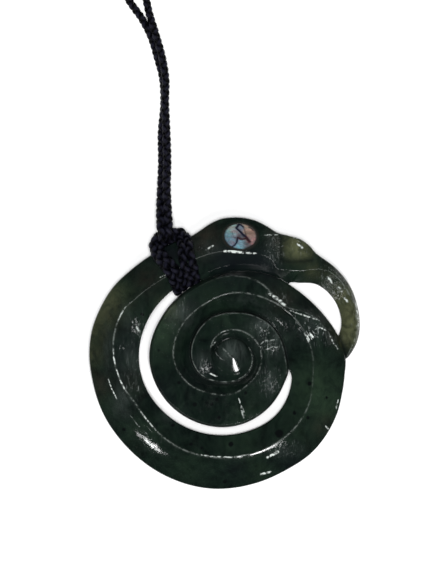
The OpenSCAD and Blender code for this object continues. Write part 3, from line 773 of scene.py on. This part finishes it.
# Eye's own coordinates: 1 at the rim of its oval
def eyePlace(x, y):
    a = math.radians(eyeData["turned"])
    dx, dy = x - eyeData["place"][0], y - eyeData["place"][1]
    u = (dx * math.cos(a) + dy * math.sin(a)) / eyeData["halfLength"]
    v = (dy * math.cos(a) - dx * math.sin(a)) / eyeData["halfWidth"]
    return u, v


# Uneven ripples: fourteen sines of nearly one length, in directions a golden angle apart
def ripples(x, y, length, count=14):
    total = np.zeros(np.broadcast(x, y).shape)
    for i in range(count):
        a, wave = 2.39996 * i, 2 * np.pi / (length * (0.6 + 0.8 * (0.618 * i % 1)))
        total += np.sin(wave * (x * math.cos(a) + y * math.sin(a)) + 4.1 * i * i)
    return total * math.sqrt(2 / count)


# Each row as a bell shape, round or oval, all added up to at most 1.6: place, half width or widths, strength
def bells(x, y, rows):
    total = np.zeros(np.broadcast(x, y).shape)
    for px, py, *widths, strength in rows:
        total += strength * np.exp(-((x - px) / widths[0]) ** 2 - ((y - py) / widths[-1]) ** 2)
    return np.clip(total, 0, 1.6)


# Each carved line as a bell shape across it, all of them added up
def carvings(x, y):
    return sum(height * bell(lineDistance(x, y, points), width) for points, height, width in carvedLines)


# Height of the finished front: the plain front, its ridges rounded by a weighted mean of five places across
# the band, with the hand's waviness, the cutter's marks, the nose lobe and the carved lines
def frontHeight(turn, r, lines):
    s = stoneData
    soft = s["ridgeRound"] + 0 * turn
    for start, end, radius in s["roundRidges"]:
        run = s["roundRun"]
        share = comesIn(turn, start, start + run) * comesIn(turn, end, end - run)
        soft = soft + (radius - s["ridgeRound"]) * share
    soft = np.maximum(np.minimum(soft, np.minimum(lines[0] - r, r - lines[4])), 0)
    z = 0.4 * plainFront(turn, r, lines)
    for shift, weight in ((0.5, 0.2), (1, 0.1)):
        inside, outside = (plainFront(turn, r + way * shift * soft, lines) for way in (-1, 1))
        z = z + weight * (inside + outside)
    x, y = atTurn(turn, r)
    height, length = s["waves"]
    z = z + height * ripples(x, y, length)
    height, length = s["chatter"]
    marks = ripples(0.4 * x + 0.3 * y, y - 0.5 * x, length)
    z = z + height * marks * bells(x, y, brushedPlaces.values())
    return z + bells(x, y, [s["lobe"]]) + carvings(x, y)


# From the spiral's own place to where the stone lies: moved to the middle, leaned, and lifted
def settle(x, y, z):
    s = stoneData
    x, y = x + s["middle"][0], y + s["middle"][1]
    dx, dy = math.cos(math.radians(s["leanTowards"])), math.sin(math.radians(s["leanTowards"]))
    sine, cosine = math.sin(math.radians(s["lean"])), math.cos(math.radians(s["lean"]))
    along = x * dx + y * dy
    shift = along * (cosine - 1) - z * sine
    return np.stack([x + dx * shift, y + dy * shift, z * cosine + along * sine + s["lift"]], -1)


# Places across the front: 0 to 1 on the lip, 1 to 2 up the bevel and 2 to 3 down the hollow, with two more
# at the bevel's corner; and the radius of each
def frontPlaces(turn, lines):
    edge, _, ridge, _, inner, _ = lines
    lip = lipWidth(edge, ridge)
    places = np.concatenate([
        [0, 0.25, 0.6, 1, 1.015], np.linspace(1.04, 1.94, 23), [1.975, 1.992, 2, 2.008, 2.025, 2.06, 2.12],
        [2.19, 2.27, 2.35, 2.43, 2.51, 2.59, 2.67, 2.75, 2.83, 2.9, 2.96, 3],
    ])[None, :]
    corner = (edge - lip - readTable(stoneData["corner"], turn)[0]) / (edge - lip - ridge)
    corner = 1 + np.clip(corner, 0.021, 0.981)
    places = np.sort(np.concatenate([places + 0 * turn, corner - 0.005, corner + 0.005], 1), 1)
    r = np.where(places <= 1, edge - lip * places,
                 np.where(places <= 2, edge - lip - (places - 1) * (edge - lip - ridge),
                          ridge - (places - 2) * (ridge - inner)))
    return places, r


# Back of the stone: quarter ellipses round its free edges, flat between them
def backGrid(turn, lines, outermost):
    edge, inner = lines[0], lines[4]
    (rimWidth, rimHeight), (cutWidth, cutHeight) = stoneData["backRound"], stoneData["cutRound"]
    bend = np.radians([0, 22.5, 45, 67.5, 90])
    rimWidth = np.minimum(rimWidth, 0.4 * (edge - inner))
    cutWidth = np.minimum(cutWidth, 0.3 * (edge - inner))
    rimR, cutR = edge - rimWidth * (1 - np.cos(bend)), inner + cutWidth * (1 - np.cos(bend[::-1]))
    rimHeight = np.where(outermost, rimHeight, cutHeight * cutOpen(turn - 360))
    cutHeight = cutHeight * cutOpen(turn)
    rimZ, cutZ = rimHeight * (1 - np.sin(bend)), cutHeight * (1 - np.sin(bend[::-1]))
    return np.stack([*atTurn(turn, np.concatenate([rimR, cutR], 1)), np.concatenate([rimZ, cutZ], 1)], -1)


# Knob: rings of a blunt cone with a rounded rim, or of a plain cone where the rim rises into the band
def knobRings(turns):
    s = stoneData
    shares = np.array([
        1, 0.985, 0.95, 0.9, 0.85, 0.8, 0.74, 0.68, 0.61, 0.54, 0.47, 0.4, 0.33, 0.26, 0.19, 0.12, 0.05,
    ])[:, None]
    rimZ = readPlain(s["knobFoot"], turns)
    merged = np.clip((rimZ - s["knobFoot"][0][1]) / s["knobMerge"], 0, 1)
    cone = (1.01 - np.sqrt(shares**2 + 0.02)) / 0.8686  # with a rounded tip
    blunt = (0.43 * cone + 0.57 * np.sqrt(1 - shares**6)) * (1 - shares**40)
    cone = 0.86 * cone + 0.14 * (1 - shares**10)
    x, y = atTurn(turns, s["knobRadius"] * shares)
    z = rimZ + (s["knobTop"] - rimZ) * (blunt + (cone - blunt) * merged)
    return np.stack([x, y, z + carvings(x, y)], -1)


# The triangles of front, back and knob. Where the band isn't cut free, its inner edge is the next turn's
# outer edge, and the last turn closes on the knob's rim. f, b and k are the numbers of their points.
def stoneTriangles(turns, f, b, k, foot, top, bottom):
    last, perTurn = len(turns) - 1, len(foot)
    row = np.arange(len(turns))
    shut = cutOpen(turns) <= 0
    for at, core in ((f, k[0]), (b, foot)):
        outer = at[:, 0].copy()
        outer[last], outer[0] = core[0], outer[perTurn]
        onward = np.where(row + perTurn <= last, outer[np.minimum(row + perTurn, last)],
                          core[(row - last) % perTurn])
        at[:, -1] = np.where(shut, onward, at[:, -1])
        at[0, :], at[last, :] = outer[perTurn], core[0]
    walls = np.zeros(last, bool)
    for start, end, _, _ in stoneData["cuts"]:
        walls |= (turns[:-1] >= start - 0.01) & (turns[:-1] < end - 0.01)
    outWalls = np.concatenate([np.ones(perTurn, bool), walls])[:last]
    return np.concatenate([
        gridTriangles(f[:-1, :-1], f[1:, :-1], f[1:, 1:], f[:-1, 1:]),
        gridTriangles(b[:-1, :-1], b[:-1, 1:], b[1:, 1:], b[1:, :-1]),
        gridTriangles(f[:-1, 0][outWalls], b[:-1, 0][outWalls], b[1:, 0][outWalls], f[1:, 0][outWalls]),
        gridTriangles(f[:-1, -1][walls], f[1:, -1][walls], b[1:, -1][walls], b[:-1, -1][walls]),
        ringTriangles(k), fan(k[-1], top), fan(foot, bottom)[:, [1, 0, 2]],
    ])


# How much painted shade each point of the front gets in a groove, how much painted highlight and pale wear
# on a ridge or corner, and how matt it is
def paintedLayers(turn, r, z, places, lines, outermost):
    s = stoneData
    edge, _, ridge, ridgeZ, inner, _ = lines
    corner, fallRate = readTable(s["corner"], turn)
    shown = (1 - cutOpen(turn)) * (places > 2) * comesIn(turn, *s["grooveStart"])
    grooveShade = bell(r - inner, s["hollowGroove"]) * shown
    grooveShade = grooveShade + 0.7 * bell(edge - r, s["edgeGroove"]) * (1 - outermost)
    x, y = atTurn(turn, r)
    for line, height, _ in carvedLines:
        grooveShade = grooveShade + 0.8 * bell(lineDistance(x, y, line), s["lineGroove"]) * (height < 0)
    atRidge, atCorner = bell(r - ridge, s["wearAndSheenWidth"]), bell(r - corner, s["wearAndSheenWidth"])
    atCorner = atCorner * bell(z - ridgeZ + fallRate * (corner - ridge), s["wearAndSheenDepth"])
    wearAndSheen = atRidge * readPlain(s["ridgeWearAndSheen"], turn) + atCorner * readPlain(s["cornerWearAndSheen"], turn)
    steep = smoothStep((r - corner) / 0.06) * comesIn(turn, *s["facetMatt"])
    matt = atRidge * readPlain(s["ridgeMatt"], turn) + steep
    return {"grooveShade": np.clip(grooveShade, 0, 1), "wearAndSheen": np.clip(wearAndSheen, 0, 2), "matt": np.clip(matt, 0, 1)}


# The stone: its front and back as grids of turns by places across the band, its knob as rings, the knob's
# foot on the back, and the two points that close them
def makeStone(material):
    s = stoneData
    turns = np.arange(s["firstTurn"], s["lastTurn"] + s["step"] / 2, s["step"])
    turn, perTurn = turns[:, None], int(round(360 / s["step"]))
    outermost = np.arange(len(turns))[:, None] <= perTurn
    lines = bandLines(turn)
    places, r = frontPlaces(turn, lines)
    x, y = atTurn(turn, r)
    pocket = eyeData["pocket"] * comesIn(np.hypot(*eyePlace(x, y)), *eyeData["pocketWall"])
    z = frontHeight(turn, r, lines) - pocket
    knobTurns = turns[-1] - 360 + s["step"] * np.arange(perTurn)[None, :]
    knob = knobRings(knobTurns)
    foot = np.stack([*atTurn(knobTurns, s["knobRadius"]), 0 * knobTurns], -1)
    tips = np.array([[[0, 0, s["knobTop"]], [0, 0, 0]]])

    blocks = [np.stack([x, y, z], -1), backGrid(turn, lines, outermost), knob, foot, tips]
    points = np.concatenate([block.reshape(-1, 3) for block in blocks])
    starts = np.cumsum([0] + [block.shape[0] * block.shape[1] for block in blocks])
    f, b, k, (footAt,), ((top, bottom),) = (
        np.arange(start, end).reshape(block.shape[:2])
        for start, end, block in zip(starts, starts[1:], blocks))
    triangles = stoneTriangles(turns, f, b, k, footAt, top, bottom)
    placed = settle(*points.T)
    stone, used = makeMesh("carvedStone", placed, triangles, material)

    for name, values in paintedLayers(turn, r, z, places, lines, outermost).items():
        whole = np.zeros(len(points))
        whole[: starts[1]] = values.ravel()
        paint(stone, name, whole[used])
    # how far each point lies beside a line of painted glints, and whether it is on the carved face
    glintSides, face = np.zeros((len(points), 3)), np.zeros(len(points))
    for start, end, px, py in ((0, starts[1], x, y), (starts[2], starts[3], knob[..., 0], knob[..., 1])):
        glintSides[start:end, :2] = np.stack(nearLines(px, py, glintLines), -1).reshape(-1, 2)
        face[start:end] = 1
    face[top] = 1
    paint(stone, "glintSides", glintSides[used], "FLOAT_VECTOR")
    paint(stone, "face", face[used])
    return stone, placed[used], face[used]


# Colour patches of the stone: olive, moss and brown stains, and dark patches of painted shade in hollows
# that face away from the lights. Each row: place on the table, half width, strength. The four kinds are the
# red, green, blue and alpha of one colour attribute, in this order.
stainsAndShadeData = {
    "olive": [
        [17.2, 25.6, 2.9, 1], [19.6, 23.8, 1.8, 0.35], [25.4, 18.6, 3, 0.15], [29, 13.2, 3, 0.8],
        [30.8, 7.8, 3.2, 1], [30.4, 3.4, 2.6, 0.6], [-28.4, 12.6, 4.2, 0.6], [-31, 6.2, 3.6, 0.35],
        [-32, -0.6, 3, 0.3], [-13.4, 10.6, 2.4, 0.35], [21, 19.6, 2, 0.3],
    ],
    "moss": [
        [-15.9, 4, 4.4, 0.9], [-13.6, 10, 3.2, 0.6], [22.5, -8, 6, 0.85], [24.6, -14, 4.4, 0.5],
        [17.6, -19.5, 4.6, 0.3], [-9, -28, 5, 0.35], [4.2, -22, 4.4, 0.4], [8.6, -28.6, 3.4, 0.4],
        [-24, 14.4, 4.2, 0.35], [-20, -20, 5.2, 0.3], [-29, -12, 4, 0.35], [6.2, -14.2, 3.4, 0.35],
        [15.2, 17, 3.6, 0.3], [-3, 14.2, 3.2, 0.25], [0.4, 8.4, 3, 0.25],
    ],
    "brown": [
        [-4.6, 27.4, 3.8, 0.7], [-30.2, -7.8, 3, 0.5], [-18.2, 17.6, 3.4, 0.4], [14, 12.6, 3, 0.35],
        [24.2, -17.6, 2.8, 0.35], [-21.2, -7, 3, 0.25], [12.2, 28.2, 2.4, 0.4],
    ],
    # painted shade where the hollows lie dark
    "dark": [
        [-12.9, 23.4, 2.6, 1], [8.4, 22, 3.6, 0.9], [1, 22.4, 4.4, 1], [12, 19.6, 3, 0.6],
        [-22, 2, 4.4, 0.5], [-5.4, -4.8, 3.6, 0.4], [2.6, -27.4, 3, 0.35], [16.4, -26, 3.4, 0.4],
        [-14.4, -9.6, 3.4, 0.35],
    ],
}
# Painted sheen in the hollows, a pale haze that stands for broad soft reflections: place on the table, half
# widths, strength
sheenPlaces = [
    [-22.4, -2.4, 2.6, 5.2, 0.55], [-24.6, -12, 2.8, 4.2, 0.6], [-22.6, 8.6, 2.4, 3.4, 0.3],
    [11.2, 2.6, 3, 3.8, 0.9], [-27.6, 1.6, 1.6, 6.4, 0.4], [9.4, 7, 3.2, 2.4, 0.8],
    [-10.6, 9.4, 3.6, 3.6, 0.7], [-5.6, -2, 2, 2.4, 0.5], [2, 0.4, 2.8, 2.8, 1.5], [11.4, -7, 3, 3, 0.5],
    [20.4, 6, 3.4, 3, 0.6], [11.8, 25, 1.8, 3.2, 0.8], [-4.2, 25, 3, 1.6, 0.5], [-12.4, -15, 3, 2, 0.3],
    [14.6, -23.4, 3.6, 1.8, 0.5], [6.4, 12.4, 5, 1.6, 0.4],
]
# Dark specks in the stone: place on the table, half width
speckData = [
    [-10.8, -7.1, 0.45], [-1.7, -11.1, 0.4], [-2.9, -12.3, 0.35], [-7, -12.3, 0.5], [-1.2, -15.5, 0.45],
    [1.7, -21.9, 0.6], [-5.3, -22.7, 0.4], [13.2, -19.3, 0.95], [20.4, -7.3, 0.6], [0.2, -31, 0.5],
    [20.1, -15.5, 0.45], [-7.9, -21.9, 0.4], [-15.6, 0.6, 0.35], [9.4, -15, 0.5], [16.9, -14.4, 0.45],
    [-24, -18.4, 0.4], [-19.6, 9.2, 0.4], [24.6, -10.8, 0.35], [5.2, -9.6, 0.35], [-12.2, -17.4, 0.4],
]


# How stained, specked and brushed each point is, and how much painted shade and painted sheen it gets
def paintStone(stone, points, face):
    x, y = points[:, 0], points[:, 1]
    mx, my = stoneData["middle"]
    paint(stone, "stainsAndShade", np.stack([bells(x, y, rows) for rows in stainsAndShadeData.values()], 1), "FLOAT_COLOR")
    paint(stone, "speck", bells(x, y, [[*row, 1] for row in speckData]))
    paint(stone, "paintedSheen", bells(x, y, sheenPlaces))
    paint(stone, "brushed", face * bells(x - mx, y - my, brushedPlaces.values()))


# Nephrite: clouds of dark green in two sizes, stained by the painted patches, with fine dark specks,
# painted shade in hollows and grooves, painted sheen, highlights and glints, under a hard polish that the
# cutter's marks and a faint waviness break up
def makeGreenstone():
    m, shader = newMaterial("greenstone", (0.011, 0.02, 0.014), 0.14, IOR=1.61)
    place = objectPlace(m)
    stainsAndShade = node(m, "SeparateColor", {"Color": painted(m, "stainsAndShade", "Color")}).outputs
    streaks = turned(m, place, 0.6, (1, 0.35, 1))
    wisps = ramp(m, noise(m, streaks, 620, 6, 0.65, 0.8), [(0.42, 0), (0.68, 1)])
    ragged = ramp(m, noise(m, place, 420, 5, 0.6, 0.6), [(0.3, 0.25), (0.62, 1)])
    cloudy = ramp(m, noise(m, streaks, 520, 5, 0.65, 0.6), [(0.36, 0.1), (0.66, 1)])
    fine = node(m, "TexVoronoi", {"Vector": place, "Scale": 520, "Randomness": 1})
    dots = ramp(m, fine.outputs["Distance"], [(0.06, 1), (0.17, 0)])
    rare = ramp(m, noise(m, place, 210, 3, 0.5), [(0.55, 0), (0.66, 1)])
    speck = times(m, painted(m, "speck"), sums(m, "ADD", ragged, 0.25))
    broken = ramp(m, noise(m, place, 760, 3, 0.8), [(0.44, 0.05), (0.57, 1)])
    wearAndSheen = times(m, painted(m, "wearAndSheen"), broken)

    # painted glints along the glint lines: full at a line's middle, broken by a fine noise
    glintSides = node(m, "SeparateXYZ", {"Vector": painted(m, "glintSides", "Vector")}).outputs
    thin = sums(m, "SUBTRACT", 1, sums(m, "ABSOLUTE", glintSides["X"]), clamp=True)
    bright = ramp(m, noise(m, place, 1500, 2, 0.6), [(0.42, 0.12), (0.58, 1)])
    glint = times(m, times(m, thin, glintSides["Y"]), bright)

    # dull glue line round the eye, where the oval's own radius is 0.5
    e = eyeData
    oval = node(m, "Mapping", {"Vector": place, "Location": (e["onTable"][0] * mm, e["onTable"][1] * mm, 0),
                               "Rotation": (0, 0, math.radians(e["turned"])),
                               "Scale": (2 * e["halfLength"] * mm, 2 * e["halfWidth"] * mm, 1)},
                vector_type="TEXTURE").outputs[0]
    flatOval = node(m, "VectorMath", {0: oval, 1: (1, 1, 0)}, operation="MULTIPLY").outputs[0]
    radius = node(m, "VectorMath", {0: flatOval}, operation="LENGTH").outputs["Value"]
    glue = times(m, ramp(m, radius, [(0.49, 0), (0.505, 1), (0.55, 0.6), (0.6, 0)]), painted(m, "face"))

    brushed = painted(m, "brushed")
    scratches = noise(m, turned(m, place, 0.9, (1, 0.24, 1)), 2100, 3, 0.7, 0.5)

    # layers over the clouds: how much of each, and its colour
    colour = ramp(m, noise(m, place, 150, 7, 0.6, 1.6), [
        (0.3, (0.0004, 0.0012, 0.0012)), (0.45, (0.002, 0.005, 0.0038)), (0.6, (0.004, 0.0092, 0.0062)),
        (0.78, (0.0095, 0.0175, 0.0118))])
    for amount, shade in (
        (times(m, wisps, 0.2), (0.017, 0.027, 0.021)),
        (times(m, times(m, stainsAndShade["Green"], ragged), 0.75), (0.02, 0.038, 0.021)),
        (times(m, times(m, stainsAndShade["Blue"], ragged), 0.75), (0.03, 0.024, 0.018)),
        (times(m, times(m, stainsAndShade["Red"], ragged), 0.9), (0.09, 0.098, 0.05)),
        # painted shade in the dark hollows
        (times(m, painted(m, "stainsAndShade", "Alpha"), 0.7), (0.0048, 0.006, 0.0082)),
        # painted sheen in the hollows
        (times(m, painted(m, "paintedSheen"), cloudy), (0.036, 0.046, 0.042)),
        (times(m, dots, rare), (0.0022, 0.0035, 0.003)),
        (ramp(m, speck, [(0.25, 0), (0.5, 1)]), (0.002, 0.003, 0.003)),
        # painted shade in the grooves
        (times(m, painted(m, "grooveShade"), 0.75), (0.003, 0.005, 0.0045)),
        # painted highlight on the ridges and corners, partly pale wear
        (sums(m, "MULTIPLY", wearAndSheen, 0.5, clamp=True), (0.26, 0.29, 0.27)),
        (sums(m, "SUBTRACT", glint, 0.08, clamp=True), (0.62, 0.67, 0.64)),
        (times(m, glue, 0.8), (0.02, 0.018, 0.0155)),
        # painted glints where the brushed polish sparkles, partly the scratches' own pale colour
        (times(m, ramp(m, scratches, [(0.57, 0), (0.72, 0.7)]), brushed), (0.34, 0.37, 0.36)),
    ):
        colour = mixColour(m, amount, colour, (*shade, 1))
    feed(m, shader, "Base Color", colour)

    smear = ramp(m, noise(m, place, 900, 4, 0.6), [(0.3, 0.06), (0.75, 0.14)])
    rough = mixColour(m, times(m, brushed, 0.6), smear, (0.2, 0.2, 0.2, 1))
    feed(m, shader, "Roughness", mixColour(m, painted(m, "matt"), rough, (0.5, 0.5, 0.5, 1)))
    waves = bump(m, shader, noise(m, place, 230, 3, 0.5), 0.2, 0.1)
    pits = bump(m, shader, noise(m, place, 1500, 4, 0.7), 0.12, 0.05, waves)
    bump(m, shader, times(m, scratches, sums(m, "ADD", brushed, 0.04)), 0.9, 0.2, pits)
    return m


stone, stonePoints, stoneFace = makeStone(makeGreenstone())
paintStone(stone, stonePoints, stoneFace)
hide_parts("spiral_stone")
print("stone carved:", len(stone.data.polygons), "triangles")


# Colours of the shell, in the eye's own coordinates, where 1 is its rim: broad fields that run into each
# other, growth lines as sines, and dark seams along a few lines
shellData = {
    # fields: place, width, colour
    "fields": [
        [-0.85, 0.1, 0.3, (0.12, 0.23, 0.26)], [-0.7, -0.35, 0.3, (0.13, 0.19, 0.23)],
        [-0.62, 0.5, 0.3, (0.27, 0.33, 0.29)], [-0.33, 0.4, 0.26, (0.22, 0.2, 0.22)],
        [-0.35, -0.35, 0.22, (0.14, 0.15, 0.18)], [0.02, -0.68, 0.24, (0.15, 0.27, 0.32)],
        [0.4, -0.65, 0.22, (0.075, 0.075, 0.08)], [0.05, 0.62, 0.14, (0.12, 0.15, 0.2)],
        [0, 0.02, 0.16, (0.085, 0.065, 0.075)], [0.42, 0.62, 0.24, (0.3, 0.22, 0.17)],
        [0.65, 0.25, 0.26, (0.2, 0.135, 0.105)], [0.82, -0.15, 0.28, (0.27, 0.17, 0.16)],
    ],
    "teal": (0.82, 1.08, 1.12),  # tint of the growth lines on the left
    "seamColour": (0.006, 0.009, 0.022),
    "rustColour": (0.04, 0.014, 0.016),
    # seams: points, half width, strength, share of rust
    "seams": [
        [[[-0.14, 0.92], [-0.28, 0.62], [-0.03, 0.36], [0.16, 0.15], [0.36, -0.03]], 0.08, 1, 0],
        [[[-0.16, 0.88], [-0.02, 0.9], [0.13, 0.77]], 0.06, 0.9, 0],
        [[[0.13, 0.77], [0.24, 0.48], [0.36, 0.02]], 0.035, 0.55, 0.3],
        [[[0.36, 0], [0.62, -0.36]], 0.07, 0.9, 0.6],
        [[[-0.17, -0.1], [0, -0.21], [0.18, -0.21], [0.37, -0.15], [0.56, -0.4]], 0.075, 0.9, 1],
        [[[-0.17, -0.22], [-0.2, -0.5], [-0.34, -0.75], [-0.5, -0.86]], 0.06, 0.95, 0],
        [[[-0.42, -0.1], [-0.17, -0.19]], 0.03, 0.5, 0.2],
        [[[0.49, 0.75], [0.64, 0.68], [0.78, 0.53]], 0.05, 0.75, 0.7],
        [[[-0.5, 0.3], [-0.45, 0.02]], 0.035, 0.3, 0],
    ],
}


def shellColour(u, v):
    d = shellData
    total, colour = np.zeros(u.shape) + 1e-6, np.zeros((*u.shape, 3))
    for px, py, width, shade in d["fields"]:
        weight = np.exp(-((u - px) ** 2 + (v - py) ** 2) / width**2)
        total, colour = total + weight, colour + weight[:, None] * np.array(shade)
    colour = colour / total[:, None]
    growth = np.sin(15 * (v + 0.5 * u + 0.12 * np.sin(5 * u)) + 2.2 * np.sin(3.3 * u - 2 * v))
    fine = np.sin(46 * (u - 0.5 * v) + 3 * np.sin(7 * v + 2 * u))
    colour = colour * (1 + 0.13 * growth + 0.07 * fine)[:, None]
    teal = smoothStep(growth - 0.1)[:, None] * smoothStep(0.4 - u)[:, None]
    colour = colour * (1 + teal * (np.array(d["teal"]) - 1))
    for points, width, strength, rust in d["seams"]:
        seam = strength * bell(lineDistance(u, v, points), width)
        shade = np.array(d["seamColour"]) * (1 - rust) + np.array(d["rustColour"]) * rust
        colour = colour + (shade - colour) * np.clip(1.3 * seam, 0, 1)[:, None]
    rim = comesIn(np.hypot(u, v), 0.9, 0.99)[:, None]
    return colour * (1 - 0.8 * rim)


# The eye's inlay: rings of an oval that follow the stone's own front, with a slight dome on it, down a
# short wall to its floor
def makeEye(material):
    e = eyeData
    shares = np.concatenate([np.linspace(0.02, 0.94, 42), [0.965, 0.985, 0.997, 1, 1, 1]])[:, None]
    drops = np.concatenate([np.zeros(43), [0.01, 0.035, 0.08, 0.3, 0.8]])[:, None]
    u, v = atTurn(np.linspace(0, 360, e["sides"], endpoint=False)[None, :], shares)
    a = math.radians(e["turned"])
    x = e["place"][0] + u * e["halfLength"] * math.cos(a) - v * e["halfWidth"] * math.sin(a)
    y = e["place"][1] + u * e["halfLength"] * math.sin(a) + v * e["halfWidth"] * math.cos(a)
    turn, r = np.degrees(np.arctan2(y, x)), np.hypot(x, y)
    z = frontHeight(turn, r, bandLines(turn)) + e["proud"] + e["dome"] * (1 - shares**2) - drops
    rings = settle(x, y, z)
    points = np.concatenate([rings.reshape(-1, 3), [rings[0].mean(0), rings[-1].mean(0)]])
    at = np.arange(u.size).reshape(u.shape)
    triangles = np.concatenate([
        ringTriangles(at)[:, ::-1], fan(at[0], u.size), fan(at[-1], u.size + 1)[:, [1, 0, 2]],
    ])
    eye, used = makeMesh("shellEye", points, triangles, material)
    colours = shellColour(np.append(u, [0, 0]), np.append(v, [0, 0]))
    paint(eye, "nacre", np.insert(colours, 3, 1, axis=1)[used], "FLOAT_COLOR")
    return eye


# Shell: the painted nacre, broken by fine layered ripples, under a clear polish
def makeNacre():
    m, shader = newMaterial("pauaShell", (0.4, 0.45, 0.5), 0.22, IOR=1.53)
    shader.inputs["Coat Weight"].default_value = 0.6
    shader.inputs["Coat Roughness"].default_value = 0.08
    ripple = turned(m, objectPlace(m), 0.35, (0.4, 1, 1))
    layers = noise(m, ripple, 2600, 5, 0.7, 1.2)
    brightness = ramp(m, layers, [(0.3, 0.45), (0.7, 1.3)])
    hue = ramp(m, noise(m, ripple, 1100, 2, 0.5, 2), [(0.35, (0.75, 1.1, 1.15)), (0.5, (1, 1, 1)),
                                                      (0.66, (1.2, 0.9, 1))])
    colour = mixColour(m, 1, painted(m, "nacre", "Color"), brightness, "MULTIPLY")
    feed(m, shader, "Base Color", mixColour(m, 0.8, colour, hue, "MULTIPLY"))
    bump(m, shader, layers, 0.25, 0.05)
    return m


eye = makeEye(makeNacre())
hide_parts("shell_eye")
print("eye inlaid")


tableData = {"shade": 0.95, "roughness": 0.8, "halfWidth": 4}  # the half width in metres


def makeTable(data):
    mesh = bpy.data.meshes.new("table")
    half = data["halfWidth"]
    corners = [(-half, -half, 0), (half, -half, 0), (half, half, 0), (-half, half, 0)]
    mesh.from_pydata(corners, [], [(0, 1, 2, 3)])
    mesh.materials.append(newMaterial("paleTable", (data["shade"],) * 3, data["roughness"])[0])
    table = newObject("table", mesh)


makeTable(tableData)
